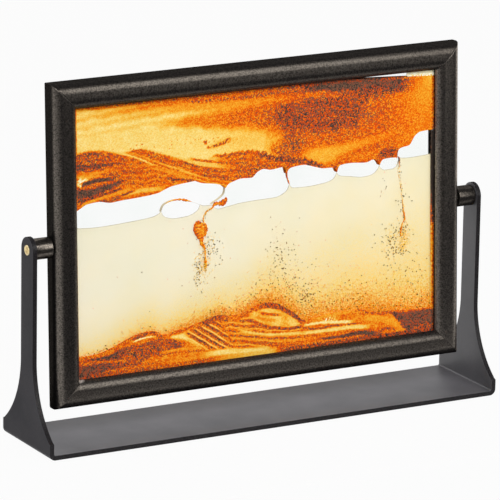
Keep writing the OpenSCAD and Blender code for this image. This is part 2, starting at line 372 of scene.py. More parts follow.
class Nodes:
    """Node tree of a material or of the world. Each call adds a node and returns one of its sockets."""

    def __init__(self, owner, kind="Material"):
        owner.use_nodes = True
        self.owner, self.tree = owner, owner.node_tree
        self.tree.nodes.clear()
        self.out = self.tree.nodes.new("ShaderNodeOutput" + kind)

    def put(self, kind, inputs=None, output=0, **settings):
        """Adds a node. Inputs are constants, or the sockets that feed them."""
        node = self.tree.nodes.new("ShaderNode" + kind)
        for key, value in settings.items():
            setattr(node, key, value)
        for key, value in (inputs or {}).items():
            if isinstance(value, bpy.types.NodeSocket):
                self.tree.links.new(value, node.inputs[key])
            else:
                node.inputs[key].default_value = value
        return node.outputs[output]

    def place(self):
        """Object coordinates."""
        return self.put("TexCoord", output="Object")

    def value(self, name):
        """Value that the mesh keeps under a name."""
        return self.put("Attribute", output="Fac", attribute_name=name)

    def sum(self, operation, *terms, **settings):
        """Arithmetic on numbers and sockets."""
        return self.put("Math", dict(enumerate(terms)), operation=operation, **settings)

    def carry(self, value, low, high, to_low, to_high, **settings):
        """Carries a value from the range of low to high over to the range of to_low to to_high."""
        ends = {"From Min": low, "From Max": high, "To Min": to_low, "To Max": to_high}
        return self.put("MapRange", {"Value": value, **ends}, **settings)

    def noise(self, scale, detail=2.0, roughness=0.5):
        """Noise of a scale per metre."""
        return self.put("TexNoise", {
            "Vector": self.place(), "Scale": scale, "Detail": detail, "Roughness": roughness})

    def speckle(self, value, spread, scale, channel):
        """Value with a random part of a spread added in each cell, and the node of the cells."""
        cells = self.put("TexVoronoi", {"Vector": self.place(), "Scale": scale}, "Color")
        chance = self.put("SeparateColor", {"Color": cells}, channel)
        return self.sum("MULTIPLY_ADD", self.sum("SUBTRACT", chance, 0.5), spread, value), cells.node

    def bump(self, height, strength, distance):
        """Normal of an uneven surface."""
        return self.put("Bump", {"Height": height, "Strength": strength, "Distance": distance})

    def ramp(self, factor, stops):
        """Colour ramp through stops of a position and a scene-linear colour."""
        socket = self.put("ValToRGB", {"Fac": factor})
        elements = socket.node.color_ramp.elements
        while len(elements) < len(stops):
            elements.new(0.5)
        for element, (position, colour) in zip(elements, stops):
            element.position = position
        for element, (position, colour) in zip(elements, stops):
            element.color = (*colour[:3], 1.0)
        return socket

    def tinge(self, amount, colour, other):
        """Colour with an amount of another one in it."""
        return self.put(
            "Mix", {"Factor": amount, "A": colour, "B": (*other, 1.0)}, "Result", data_type="RGBA")

    def blend(self, amount, first, second):
        """Mix of two shaders, all first where amount is 0."""
        return self.put("MixShader", {0: amount, 1: first, 2: second})

    def end(self, shader):
        """Joins a shader to the output, and gives back the material or the world."""
        self.tree.links.new(shader, self.out.inputs["Surface"])
        return self.owner


def grained(name, dark, pale, scale, roughness, specular=0.5, metallic=0.0, painted_sheen=False):
    """Solid finish with a fine grain: noise mixes its colour, its roughness and its surface. The mesh's
    crown may steer its sheen: a painted sheen, set by place for how the light falls."""
    n = Nodes(bpy.data.materials.new(name))
    fine = n.noise(scale, roughness=0.6)
    broad = n.noise(scale / 40, detail=3.0)
    if painted_sheen:
        specular = n.sum("MULTIPLY", n.value("crown"), specular)
    return n.end(n.put("BsdfPrincipled", {
        "Base Color": n.ramp(n.sum("MULTIPLY", fine, broad), [(0.14, dark), (0.42, pale)]),
        "Roughness": n.carry(fine, 0.3, 0.7, roughness - 0.06, roughness + 0.06),
        "Metallic": metallic, "Specular IOR Level": specular, "Normal": n.bump(fine, 0.1, 0.04 * MM),
    }))


def satin(name, dark, pale, scale, low, high, roughness, bump, depth=0.1 * MM, shine=WHITE[:3], highlight_and_pale_mark=None):
    """Satin finish: a matt ground under a thin, grainy shine that goes from low to high with the mesh's
    crown, a painted sheen set by place, and a paler colour where the mesh marks pale edges and painted
    highlights."""
    n = Nodes(bpy.data.materials.new(name))
    fine = n.noise(scale, roughness=0.6)
    colour = n.ramp(fine, [(0.32, dark), (0.68, pale)])
    if highlight_and_pale_mark is not None:
        colour = n.tinge(n.value("highlight_and_pale_mark"), colour, highlight_and_pale_mark)
    gloss = n.carry(n.value("crown"), 0.0, 1.0, low, high, clamp=False)
    amount = n.sum("MULTIPLY", gloss, n.carry(fine, 0.32, 0.68, 0.35, 1.65))
    normal = n.bump(fine, bump, depth)
    matt = n.put("BsdfDiffuse", {"Color": colour, "Normal": normal})
    glaze = n.put("BsdfGlossy", {"Color": (*shine, 1.0), "Roughness": roughness, "Normal": normal})
    return n.end(n.blend(amount, matt, glaze))


def sand_ramp(n, tone):
    """Colours of the sand over its tones, from cream to black."""
    s = bpy.context.scene.sand_pattern
    return n.ramp(tone, [
        (0.0, s.cream), (0.1, s.straw), (0.2, s.yellow), (0.34, s.amber), (0.48, s.orange),
        (0.6, s.red), (0.72, s.rust), (0.86, s.umber), (1.0, s.black),
    ])


def grain_material(name):
    """Loose grains: the colour of each grain's own tone, warmed by the liquid's tint, with a faint painted
    glow.
    """
    n = Nodes(bpy.data.materials.new(name))
    # The grains' faint glow is painted light: they are no lamp
    liquid_tint, painted_glow = (0.94, 0.98, 0.25), 0.2
    colour = n.put("VectorMath", {0: sand_ramp(n, n.value("tone")), 1: liquid_tint}, operation="MULTIPLY")
    return n.end(n.put("BsdfPrincipled", {
        "Base Color": colour, "Roughness": 0.8, "Specular IOR Level": 0.0,
        "Emission Color": colour, "Emission Strength": painted_glow,
    }))


def sand_material(name):
    """Sand: the colours of the mesh's tone, spread from grain to grain, most in the red tones."""
    n = Nodes(bpy.data.materials.new(name))
    tone = n.value("tone")
    spread = n.carry(tone, 0.36, 0.75, 0.13, 0.6, interpolation_type="SMOOTHSTEP")
    calm = n.carry(tone, 0.82, 0.89, 1.0, 0.4)
    mixed, cells = n.speckle(
        tone, n.sum("MULTIPLY", spread, calm), 1 / bpy.context.scene.sand_pattern.grain, "Red")
    return n.end(n.put("BsdfPrincipled", {
        "Base Color": sand_ramp(n, mixed), "Roughness": 0.9, "Specular IOR Level": 0.0,
        "Normal": n.bump(cells.outputs["Distance"], 0.25, 0.2 * MM),
    }))


def liquid_material(name):
    """Liquid: see-through where it is clear, thicker and grainy with haze, edged where it meets the
    bubbles."""
    s = bpy.context.scene.sand_liquid
    n = Nodes(bpy.data.materials.new(name))
    haze, rim = n.value("haze"), n.value("rim")
    mixed = n.speckle(haze, n.carry(haze, 0.1, 0.9, 0.04, 0.6), 1400.0, "Green")[0]
    colour = n.ramp(mixed, [(0.0, s.clear), (0.26, s.straw), (0.64, s.cloudy), (1.0, s.thick)])
    return n.end(n.put("BsdfPrincipled", {
        "Base Color": n.tinge(rim, colour, s.rim), "Roughness": 0.7, "Specular IOR Level": 0.0,
        "Alpha": n.sum("MAXIMUM", n.carry(mixed, 0.0, 0.9, 0.72, 0.97), rim, use_clamp=True),
    }))


def glass_material(name):
    """Pane: lets lamps and background through, with a slight tint and a faint, smudged shine on its
    outside."""
    n = Nodes(bpy.data.materials.new(name))
    smudge = n.noise(30.0, detail=4.0)
    tinted = n.ramp(smudge, [(0.3, bpy.context.scene.sand_liquid.glass), (0.7, WHITE)])
    shine = n.put("BsdfGlossy", {"Color": WHITE, "Roughness": n.carry(smudge, 0.3, 0.7, 0.03, 0.09)})
    outside = n.sum("SUBTRACT", 1.0, n.put("NewGeometry", output="Backfacing"))
    amount = n.sum("MULTIPLY", n.put("Fresnel", {"IOR": 1.12}), outside)
    return n.end(n.blend(amount, n.put("BsdfTransparent", {"Color": tinted}), shine))


# Sand pattern, in millimetres of the upright picture about the pivot
SAND_FOOT = [
    [(-126, 19.6), (-122.5, 21.4), (-117.3, 23.9), (-109.7, 24.6), (-101.1, 23.2), (-95.4, 23.7),
     (-82, 24.4), (-69.4, 25.6), (-64.6, 27.3), (-59.8, 28.8), (-49.1, 30), (-43.3, 30.4), (-40.4, 29),
     (-28.7, 26.9), (-24.5, 25.4), (-22.5, 23.8)],
    [(-22.5, 23.8), (-20.5, 26), (-17, 27.3), (-11.5, 28.5), (-4.4, 28.2), (-0.2, 31.4), (3.9, 32.8),
     (9.1, 31.8), (18.4, 32.6), (19.4, 31.4), (20.3, 28)],
    [(20.3, 28), (21.5, 30.4), (23.5, 31.6), (31.8, 32.4), (40.1, 30.3), (46.4, 28.7), (52.6, 28.5),
     (54.8, 27.6), (56, 25.2)],
    [(56, 25.2), (56.7, 27.5), (57.9, 29.3), (65.2, 30), (76.8, 29.2), (82, 30.5), (85.2, 28.8),
     (86.7, 26.4)],
    [(86.7, 26.4), (87.6, 28.6), (88.9, 29.8), (93.7, 30.3), (98.4, 30), (99.3, 29.6)],
    [(99.3, 29.6), (99.6, 33), (101.1, 35.5), (108, 37), (112.3, 42.7), (116, 44.7), (126, 45.3)],
]
LIQUID_TOP = [
    [(-126, 10.2), (-118, 9.3), (-110, 9), (-87, 10), (-73, 11.2), (-69, 12.4), (-66.8, 14)],
    [(-66.8, 14), (-65.8, 11.8), (-63.9, 10.2), (-57.2, 8.6), (-49.4, 9), (-42.6, 11.3), (-40.8, 13.2),
     (-40, 15.2)],
    [(-40, 15.2), (-37, 14.3), (-33.5, 14.2), (-31.2, 13.9)],
    [(-31.2, 13.9), (-30.2, 12.4), (-27, 11.2), (-21.6, 11.9), (-11.9, 13.2), (0.6, 13.8), (12, 14),
     (19.2, 16.4), (21.6, 19), (22.4, 21.4)],
    [(22.4, 21.4), (23.3, 19.8), (25.5, 18.7), (34.8, 18.4), (45.3, 19.1), (52.6, 20.7), (55, 22.8),
     (56, 25)],
    [(56, 25), (57, 23.6), (58.9, 22.6), (65.2, 21.6), (74.6, 20.2), (80.9, 20.9), (85.2, 23.7),
     (86.7, 26.2)],
    [(86.7, 26.2), (87.6, 24.6), (90.5, 23), (95.8, 23), (99.4, 24.7), (100.6, 27), (101, 29.6)],
    [(101, 29.6), (103, 29.3), (108.5, 28.9), (119, 29.4), (126, 29.9)],
]
CREST = [
    (-126, -70), (-112.6, -69.5), (-102.1, -66.9), (-92.5, -63.3), (-84.5, -60.7), (-75.7, -59.6),
    (-72.2, -60.2), (-69.6, -62.3), (-62.6, -63), (-60.8, -62.3), (-49.2, -60.2), (-38.6, -57.9),
    (-27.8, -55.5), (-22.5, -56.4), (-16.2, -56.8), (-9.9, -55.7), (0.4, -52), (5.3, -51.4), (13.2, -53),
    (20.2, -56.9), (27.1, -61.8), (32.1, -65.9), (36, -65.6), (43.1, -64.6), (57.2, -63.6), (72.3, -64.1),
    (87.5, -67.4), (97.7, -67.6), (107.9, -68.5), (126, -68.8),
]
CEILING = [(-126, 83.98), (50, 83.98), (62, 82.9), (74, 82.3), (95, 81.1), (126, 79.3)]


def waves(x, z, seed, size, count=14):
    """Smooth even-handed noise from -1 to 1: a sum of sines whose directions, lengths and phases are drawn
    from a seed, cut off at its rare peaks."""
    rng = np.random.default_rng(seed)
    angles = rng.uniform(0, 2 * np.pi, count)
    pitches = 2 * np.pi / (size * rng.uniform(0.7, 1.8, count))
    starts = rng.uniform(0, 2 * np.pi, count)
    total, peak = np.zeros(np.broadcast(x, z).shape), 1.6
    for a, k, start in zip(angles, pitches, starts):
        total += np.sin(k * (x * np.cos(a) + z * np.sin(a)) + start)
    return np.clip(total / math.sqrt(count), -peak, peak) / peak


def within(none, full, last, end, v):
    """Mask that rises from none to full and falls from last to end."""
    return smooth(none, full, v) * smooth(end, last, v)


def blob(x, z, cx, cz, rx, rz, tilt=0.0, soft=0.35):
    """Oval mask about a centre, leaned by a tilt in degrees, with a soft edge."""
    c, s = math.cos(math.radians(tilt)), math.sin(math.radians(tilt))
    a, b = (x - cx) * c + (z - cz) * s, (z - cz) * c - (x - cx) * s
    return smooth(1 + soft, 1 - soft, np.hypot(a / rx, b / rz))


def ribbon(x, z, points, half, fade=2.0, soft=0.5):
    """Mask along a smooth line of points, half wide to either side, or of halves at its two ends, fading
    out at its ends."""
    first, last = points[0][0], points[-1][0]
    way = np.clip((x - first) / (last - first), 0, 1)
    wide = half[0] + (half[1] - half[0]) * way if isinstance(half, tuple) else half
    off = np.abs(z - line(x, points)) / wide
    return smooth(1 + soft, 1 - soft, off) * within(first - fade, first + fade, last - fade, last + fade, x)


def dotted(mask, x, z, seed, size, cut):
    """Breaks a mask into dots and dashes, where noise is above a cut."""
    return mask * smooth(cut - 0.12, cut + 0.12, waves(x, z, seed, size))


class Pattern:
    """Tones of sand at places of the picture, from 0 for cream to 1 for black, laid over one another."""

    def __init__(self, x, z, seed, broad, fine):
        self.x, self.z, self.tone = x, z, 0.0
        self.wob, self.fine = waves(x, z, seed, broad), waves(x, z, seed + 1, fine)

    def lay(self, level, mask):
        """Lays sand of a level where mask is 1."""
        self.tone = self.tone + (level - self.tone) * np.clip(mask, 0, 1)

    def dots(self, level, mask, *grain):
        """Lays sand of a level in the dots of a mask."""
        self.lay(level, dotted(mask, self.x, self.z, *grain))

    def ovals(self, rows):
        """Lays ovals, each given as level, strength and the measures of a blob."""
        for level, strength, *oval in rows:
            self.lay(level, blob(self.x, self.z, *oval) * strength)

    def ribbons(self, shake, rows):
        """Lays ribbons, each given as level, half width, fade and points, shaken by a part of the fine
        noise."""
        for level, half, fade, points in rows:
            self.lay(level, ribbon(self.x, self.z + shake * self.fine, points, half, fade))


def upper_tone(x, z):
    """Tone of the upper sand: yellow ground, an orange wedge and dark lens to the right, and red streaked
    ridges below."""
    p = Pattern(x, z, 3, 9.0, 2.2)
    wob, fine = p.wob, p.fine
    under = np.minimum(line(x, CEILING), 83) - z
    p.tone = 0.22 + 0.015 * wob - 0.025 * smooth(8, 2, np.abs(z - 62.5)) - 0.03 * smooth(60, 55, z)
    # Right-hand ground turns red-orange, and orange again at the edge
    p.lay(0.59 - 0.12 * smooth(84, 118, x), smooth(-8, 28, x + 0.5 * (z - 52) + 4 * wob + 4 * fine))
    # Orange under the ceiling, in sweeping lines
    level = line(x, [(-126, 0.24), (-100, 0.36), (-80, 0.44), (-50, 0.5), (-20, 0.56), (10, 0.58), (30, 0.66),
                     (60, 0.8), (96, 0.72), (126, 0.3)])
    p.lay(level + 0.02 * wob, smooth(13, 2, under))
    sweeps = np.sin(2 * np.pi * (z - 0.07 * x) / 5.2 + 0.5 * wob)
    p.tone += 0.05 * sweeps * smooth(62, 70, z) * smooth(40, 0, x)
    # Wedge that opens to the right into the dark lens
    mid = line(x, [(-74, 67.8), (-50, 67.4), (-28, 66.4), (3, 65.6), (30, 64)])
    half = line(x, [(-74, 1.6), (-50, 3.6), (-28, 6.4), (3, 9.5), (30, 10)])
    level = line(x, [(-74, 0.24), (-60, 0.35), (-50, 0.45), (-30, 0.51), (0, 0.59), (30, 0.64)])
    p.lay(level, smooth(1.35, 0.35, np.abs(z - mid + 0.8 * wob) / half) * within(-78, -62, 16, 36, x))
    level = line(x, [(-50, 0.38), (-10, 0.42), (10, 0.48), (30, 0.55), (56, 0.6)])
    p.lay(level, ribbon(x, z, [(-50, 75.4), (-4, 75), (30, 75.4), (54, 75.6)], (2.2, 1.6), 12, 0.8))
    streak = [(-46, 79.4), (-28, 79.2), (2, 78.6), (12, 79.2), (30, 78.9)]
    p.dots(0.72, ribbon(x, z, streak, 0.9, 3), 11, 1.6, -0.05)
    # Dark lens with two prongs at its left, and the band over it
    lens = blob(x + 1.2 * fine, z + 1.0 * wob, 47, 62.4, 35, 10.2, -2.5, 0.24)
    p.lay(0.84, lens * smooth(94, 62, x) * (0.86 + 0.14 * fine))
    for points in ([(8, 64.4), (18, 64), (30, 64)], [(12, 69.6), (22, 70), (34, 69)]):
        p.lay(0.78, ribbon(x, z + 0.4 * fine, points, (0.8, 2.2), 5, 0.7) * 0.8)
    p.ovals([(0.64, 0.5, 40, 66.4, 20, 0.9, -3, 0.7), (0.62, 0.5, 54, 60, 16, 1.2, -5, 0.7)])
    p.lay(0.92, ribbon(x, z + 0.5 * wob, [(36, 79.8), (64, 78.6), (84, 77), (104, 75.8)], (1.6, 4.2), 9, 0.6))
    p.ovals([
        (0.81, 0.8, 77, 73, 19, 5, 6, 0.6), (0.4, 0.8, 119, 66, 8, 10, 0, 0.8),
        (0.5, 0.6, 116, 54, 10, 6, 20, 0.9),
    ])
    # Yellow pockets, the speckled neck between them and the amber tail
    p.lay(0.27, blob(x + 2 * fine, z + wob, -9, 51.4, 16, 6.4, -8, 0.9))
    p.lay(0.72, blob(x + fine, z, 24.5, 47.4, 7.4, 7.6, -40, 0.6) * 0.85)
    p.dots(0.7, blob(x, z, 16, 42, 7, 4, -35, 0.7), 15, 1.7, -0.3)
    level = line(x, [(38, 0.34), (60, 0.38), (73, 0.42), (90, 0.48), (104, 0.53)])
    tail = [(38, 37), (50, 38.2), (60, 39.4), (73, 41.6), (92, 45), (104, 46.6)]
    p.lay(level, ribbon(x, z, tail, (4.4, 1.6), 9, 0.8))
    p.ovals([
        (0.35, 1, 44, 36.6, 12, 5, -8, 0.55), (0.5, 0.8, 74, 33.6, 14, 3.2, 4, 0.6),
        (0.82, 1, 93.4, 33.6, 6.4, 3.2, 0, 0.4),
    ])
    # Fleck in the yellow: the glow about it, two dots and a rising streak, and stray grains
    p.ovals([(0.36, 0.7, -27, 51.6, 8, 1.8, 13, 0.7)])
    two = blob(x, z, -36.2, 53.6, 1.6, 1.3, 0, 0.5) + blob(x, z, -34, 50.4, 1.2, 0.8, 0, 0.5)
    p.dots(0.66, two, 12, 1.8, -0.4)
    p.dots(0.82, ribbon(x, z, [(-32, 50.2), (-25, 51.8), (-19.4, 53.6)], (0.6, 1.3), 1.2), 13, 1.5, -0.3)
    p.dots(0.7, within(47, 53, 56, 60, z) * within(-110, -90, -30, 4, x), 14, 1.5, 0.93)
    # Left ridge and the one that flows over it
    crest1 = line(x, [(-126, 55.2), (-113, 56), (-101, 54.2), (-91, 51.4), (-80, 47), (-70, 41.8), (-55, 36),
                      (-43, 31), (-30, 27)])
    crest2 = line(x, [(-96, 53), (-90, 53.8), (-82, 54.4), (-69, 50.6), (-57, 46.8), (-44.6, 42.8),
                      (-28, 37.6), (-12, 34.6), (6, 33), (30, 30)])
    below2 = crest2 - z + 0.35 * fine
    flow = np.sin(2 * np.pi * below2 / 2.3 + 1.2 * wob)
    flow = flow + 0.7 * np.sin(2 * np.pi * below2 / 1.25 + 2 * wob + 1)
    over = smooth(0, 0.9, below2) * within(-97, -86, 2, 24, x)
    p.lay(0.56 + 0.1 * flow - 0.12 * smooth(6, 12, below2), over)
    p.lay(0.62, smooth(3.2, 1.2, np.abs(below2 - 2.2)) * over * within(-92, -78, -40, -18, x) * 0.8)
    below1 = crest1 - z + 0.35 * fine
    bands = np.sin(2 * np.pi * (z + 0.06 * (x + 110) + 1.3 * wob) / 3.1)
    p.lay(0.63 + 0.08 * bands - 0.1 * smooth(-108, -70, x), smooth(0, 0.9, below1) * smooth(-30, -44, x))
    p.lay(0.72, smooth(1.9, 0.6, np.abs(below1 - 1.8) / 1.6) * smooth(-88, -108, x) * 0.8)
    p.ribbons(0.3, [
        (0.18, 0.5, 5, [(-96, 53), (-90.5, 51.6), (-80, 47.4), (-72, 43.4)]),
        (0.38, 0.5, 5, [(-90, 52.8), (-82, 50.4), (-68, 44), (-58, 40)]),
        (0.4, 0.7, 6, [(-72, 41.6), (-62, 38), (-52, 34.4), (-43, 31.4)]),
        (0.3, 0.6, 5, [(-66, 43.4), (-54, 38.6), (-44, 34.4), (-34, 31.6)]),
        (0.26, 1.2, 6, [(-58, 46.2), (-45, 41.6), (-32, 38.8), (-18, 37.2)]),
        (0.68, 0.7, 5, [(-56, 45), (-44, 40), (-30, 35.6), (-20, 33)]),
        (0.66, 0.7, 5, [(-46, 44.2), (-36, 42), (-20, 39), (-4, 36.4)]),
        (0.84, (0.9, 0.6), 3, [(-62, 33.6), (-54, 32.4), (-45, 30.8)]),
        (0.74, 0.7, 4, [(-40, 33.4), (-29, 31.6), (-20, 29.4)]),
        (0.87, (2.3, 0.7), 4, [(-130, 47.4), (-114, 46.7), (-104, 46.7), (-98, 47.2)]),
        (0.44, (1.5, 0.9), 5, [(-130, 42.6), (-115, 42.2), (-107, 42.5), (-99, 44)]),
        (0.34, (0.8, 0.5), 4, [(-126, 41), (-115.7, 40.4), (-108, 40.5)]),
        (0.9, (4.2, 0.8), 4, [(-130, 31), (-120, 30.4), (-110, 31.4), (-100, 34), (-92, 36)]),
        (0.92, (1.4, 1.0), 4, [(-123, 34.8), (-115.8, 37.1), (-108, 37.8), (-99, 38)]),
        (0.6, 0.6, 4, [(-116, 34.4), (-108, 35.4), (-97, 36.6)]),
        (0.84, (1.2, 0.6), 4, [(-121, 26.2), (-108.2, 28.5), (-102.3, 29), (-95, 31)]),
        (0.72, 0.6, 4, [(-100.2, 40.5), (-94.4, 41.6), (-88.6, 40.8), (-80, 40.6)]),
        (0.3, 1.4, 5, [(-92, 27), (-80, 28.6), (-66, 28)]),
        (0.4, (0.9, 1.2), 4, [(-123, 23.2), (-112.1, 25.9), (-96.5, 28.7), (-86, 31)]),
        (0.78, 0.6, 3, [(-110, 25), (-102.4, 23.9), (-99, 25), (-92.6, 27.1), (-85.5, 29)]),
    ])
    rough = z + 0.9 * fine
    p.lay(0.05, blob(x, rough, -120.6, 38.7, 4.2, 1.1, 4, 0.4) + blob(x, rough, -122.6, 36, 1.9, 1.0, 0, 0.4))
    # Right ridge with its jagged, dotted edge
    jag = 0.9 * waves(x, 0 * z, 21, 3.0) + 0.5 * waves(x, 0 * z, 22, 1.4)
    crest3 = line(x, [(-40, 40), (-30, 44.6), (-20, 44.6), (-10, 45.2), (2.3, 43), (11.4, 39.6), (19, 37),
                      (33, 35.4), (43, 31.6), (56, 27)])
    below3 = crest3 + jag - z
    strata = np.sin(2 * np.pi * (below3 + 0.08 * x) / 2.6 + wob)
    level = 0.52 + 0.08 * smooth(1, 6, below3) + 0.07 * strata + 0.06 * smooth(6, 10, below3)
    p.lay(level, smooth(0, 0.5, below3) * smooth(-40, -22, x - 1.2 * below3) * smooth(54, 44, x))
    p.dots(0.88, smooth(2.4, 0.9, np.abs(below3 - 0.6)) * within(-4, 6, 40, 50, x), 23, 1.7, -0.4)
    p.lay(0.74, smooth(1.6, 0.4, np.abs(below3 - 0.4)) * within(-34, -24, -2, 8, x) * 0.8)
    # Red line where the sand meets the rails
    p.lay(0.66 + 0.2 * smooth(0, 40, x), smooth(2.6, 0.4, under) * within(-132, -102, 88, 98, x))
    p.lay(0.56, smooth(1.4, 0.4, under) * smooth(-90, -110, x))
    p.lay(0.62, smooth(1.7, 0.6, x + 125))
    p.lay(0.62, smooth(2.2, 0.8, 126 - x))
    return np.clip(p.tone, 0, 1)


def bed_tone(x, z):
    """Tone of the sand bed: a dark mound at the left, slanted stripes and wavy strata, a yellow lens and a
    dark block at the right."""
    p = Pattern(x, z, 31, 8.0, 2.0)
    wob, fine = p.wob, p.fine
    below = line(x, CREST) - z
    p.tone = 0.5 + 0.05 * wob + 0.04 * fine
    # Dark mound at the left, over orange layers
    roof = line(x, [(-126, -76), (-108, -72.6), (-95, -67.6), (-82, -66.4), (-66, -64.2), (-56, -68),
                    (-50, -72)])
    keel = line(x, [(-126, -88), (-100, -85), (-90, -81.4), (-80, -78), (-70, -74.4), (-50, -72.6)])
    mound = smooth(-0.4, 1.0, roof - z + 0.5 * fine) * smooth(-0.6, 1.4, z - keel + 0.6 * wob)
    p.lay(0.72 + 0.15 * smooth(-84, -110, x), mound * smooth(-48, -54, x))
    p.ribbons(0.25, [
        (0.62, 0.8, 5, [(-126, -74.4), (-114, -74.8), (-100, -75.4), (-86, -77)]),
        (0.9, 0.9, 3, [(-126, -72.6), (-112, -72.4), (-100, -71.2), (-94, -68.6)]),
        (0.6, 1.0, 5, [(-110, -82.2), (-90, -80.6), (-70, -79.4), (-40, -79)]),
        (0.43, 0.6, 6, [(-74, -78.6), (-60, -77.8), (-40, -77.6)]),
        (0.4, 0.7, 6, [(-66, -73.6), (-56, -73.4), (-44, -74.4), (-30, -76.4)]),
        (0.62, 0.6, 6, [(-74, -75.4), (-58, -75.2), (-40, -76.2)]),
        (0.04, (0.5, 1.2), 2, [(-87, -64.8), (-79, -62.8), (-71, -62.2)]),
        (0.16, (1.5, 2.8), 3, [(-66, -63.8), (-56, -64.6), (-48, -67.4), (-41, -72)]),
        (0.3, 1.6, 5, [(-56, -62.6), (-48, -62.4), (-43, -62)]),
        (0.44, 1.6, 8, [(-66, -81), (-52, -80.4), (-36, -80)]),
        (0.17, (1.6, 2.2), 9, [(-36, -78.8), (-20, -79.2), (-6, -79.8), (8, -81)]),
    ])
    # Slanted stripes: distance across them, with a dark and a light edge in each pitch
    slant, pitch = math.radians(34), 3.5
    across = (x + 49) * math.sin(slant) + (z + 65.6) * math.cos(slant) + 0.35 * wob
    phase = (across / pitch) % 1
    dark, light = smooth(0.3, 0.05, np.abs(phase - 0.3) / 0.6), smooth(0.2, 0.05, np.abs(phase - 0.62))
    field = smooth(-1.5, 1.5, across + 1.6) * smooth(19, 15, across) * smooth(-77.5, -75.5, z)
    field = field * smooth(1.5, 3.5, below) * smooth(-54, -46, x) * smooth(-10, -20, x + 0.6 * (z + 70))
    p.lay(0.6 + 0.34 * dark - 0.42 * light, field)
    # Wavy strata from the stripes to the notch
    dip = line(x, [(-40, 5), (-20, 2.4), (-5, 0), (12, -3.2), (31, -4.6), (60, -5)])
    height = z - dip + 0.5 * wob
    strata = np.sin(2 * np.pi * height / 3.3) + 0.5 * np.sin(2 * np.pi * height / 1.5 + 1 + wob)
    zone = smooth(-30, -18, x + 0.5 * (z + 66)) * smooth(36, 28, x) * smooth(2.0, 3.4, below)
    p.lay(0.52 + 0.17 * strata, zone * smooth(-81, -76.5, z))
    # Crest band: paler beyond the notch, darker over the hump, with dotted seams
    p.lay(0.57 - 0.17 * blob(x, 0 * z, 58, 0, 22, 1) + 0.08 * fine, smooth(3.4, 1.4, below + 0.5 * wob))
    p.lay(0.79, smooth(2.8, 0.8, np.abs(below - 1.7)) * within(-3, 6, 28, 34, x))
    for level, none, full, deep, reach, *grain in (
        (0.8, 2.6, 1.0, 1.4, (-46, -38, -24, -18), 33, 2.0, -0.2),
        (0.86, 1.8, 0.8, 1.6, (-90, -82, -72, -66), 34, 1.6, 0),
        (0.74, 2.8, 1.2, 1.2, (60, 74, 92, 100), 37, 1.8, 0.05),
    ):
        p.dots(level, smooth(none, full, np.abs(below - deep)) * within(*reach, x), *grain)
    # Yellow lens under the hump
    lid = line(x, [(-8, -57), (-4, -56.2), (5, -55), (14.8, -57.4), (22.5, -61.8), (30, -67.6)])
    base = line(x, [(-8, -58.4), (-4, -61), (2.7, -64.4), (15.5, -68), (22.4, -69.2), (30, -68.8)])
    inside = smooth(-0.3, 0.7, lid - z) * smooth(-0.3, 0.7, z - base) * within(-9, -3, 26, 31, x)
    p.lay(0.3 + 0.07 * wob + 0.06 * fine, inside)
    p.lay(0.66, ribbon(x, z, [(2, -57.8), (8, -59.2), (15, -60.4)], 0.8, 2) * inside)
    p.lay(0.44, ribbon(x, z, [(-3, -59.5), (4, -62), (12, -63.6)], 1.0, 3) * inside)
    p.ribbons(0.3, [
        (0.72, 0.7, 3, [(-8, -61), (3, -65.6), (15.5, -69.2), (23, -70.4), (32, -69.4)]),
        (0.22, 0.8, 4, [(-14, -66.4), (-2, -70), (12, -72.4), (31, -73.6)]),
        (0.62, 0.7, 4, [(-10, -74), (3, -77.6), (14, -80), (30, -81)]),
        (0.12, (0.7, 1.0), 3, [(32, -69.2), (42, -68.9), (54, -69.8), (66, -71)]),
        (0.7, (0.7, 0.5), 4, [(30, -70.4), (42, -72.6), (54, -72), (70, -72.6)]),
        (0.2, (1.0, 1.3), 4, [(31, -74), (46, -74.4), (63, -74.4), (78, -75.6)]),
        (0.56, 0.8, 4, [(31, -76), (46, -76.6), (63, -76.8), (80, -78.4)]),
        (0.9, (0.7, 1.7), 4, [(44, -79.4), (58, -79.6), (72, -79), (86, -82)]),
        (0.4, (2.0, 3.0), 6, [(74, -69.6), (84, -70.8), (94, -74), (104, -79.6)]),
        (0.8, 0.8, 2, [(86, -80), (92, -78.6), (98, -79.6)]),
    ])
    # Grey-brown block at the right, and pale grains beyond the notch
    cut = line(z, [(-86, 108), (-81.8, 105.5), (-75.3, 100.4), (-69.2, 95), (-66, 92)])
    p.lay(0.875, smooth(-0.8, 1.4, x - cut + 0.8 * fine) * smooth(0.4, 1.6, below))
    p.dots(0.66, smooth(104, 118, x) * smooth(-76, -81, z), 35, 2.4, 0.1)
    p.dots(0.04, blob(x, z, 50, -67.4, 5, 1.6, 0, 0.5), 36, 1.6, 0.2)
    # Dark line along the bottom rail
    level = line(x, [(-126, 0.88), (-90, 0.7), (-60, 0.6), (-40, 0.62), (-20, 0.36), (8, 0.28), (20, 0.72),
                     (126, 0.84)])
    p.lay(level, smooth(-81, -82, z))
    return np.clip(p.tone, 0, 1)


def liquid_haze(x, z):
    """Haze of fine sand in the liquid: falls off with the height over the dunes, reaching higher towards
    the right."""
    up = np.clip(z - line(x, CREST), 0, None)
    reach = line(x, [(-126, 10.5), (-50, 10.6), (-10, 13), (20, 19), (50, 27), (80, 28), (110, 38),
                     (126, 40)])
    near = line(x, [(-126, 0.5), (-110, 0.56), (-80, 0.76), (-50, 1.0), (-10, 1.05), (20, 1.1), (50, 0.97),
                    (80, 1.1), (110, 0.93), (126, 0.93)])
    return np.clip(near * np.exp(-up / reach) + 0.02 * waves(x, z, 41, 14.0), 0, 1)


# Room of the cell, in millimetres: half its width and depth, its floor and top, and the space left to them
HALF_W, HALF_GAP = CELL[1][0] / MM, CELL[1][1] / MM
FLOOR_Z, TOP_Z = CELL[0][2] / MM, CELL[1][2] / MM
CLEAR = 0.02
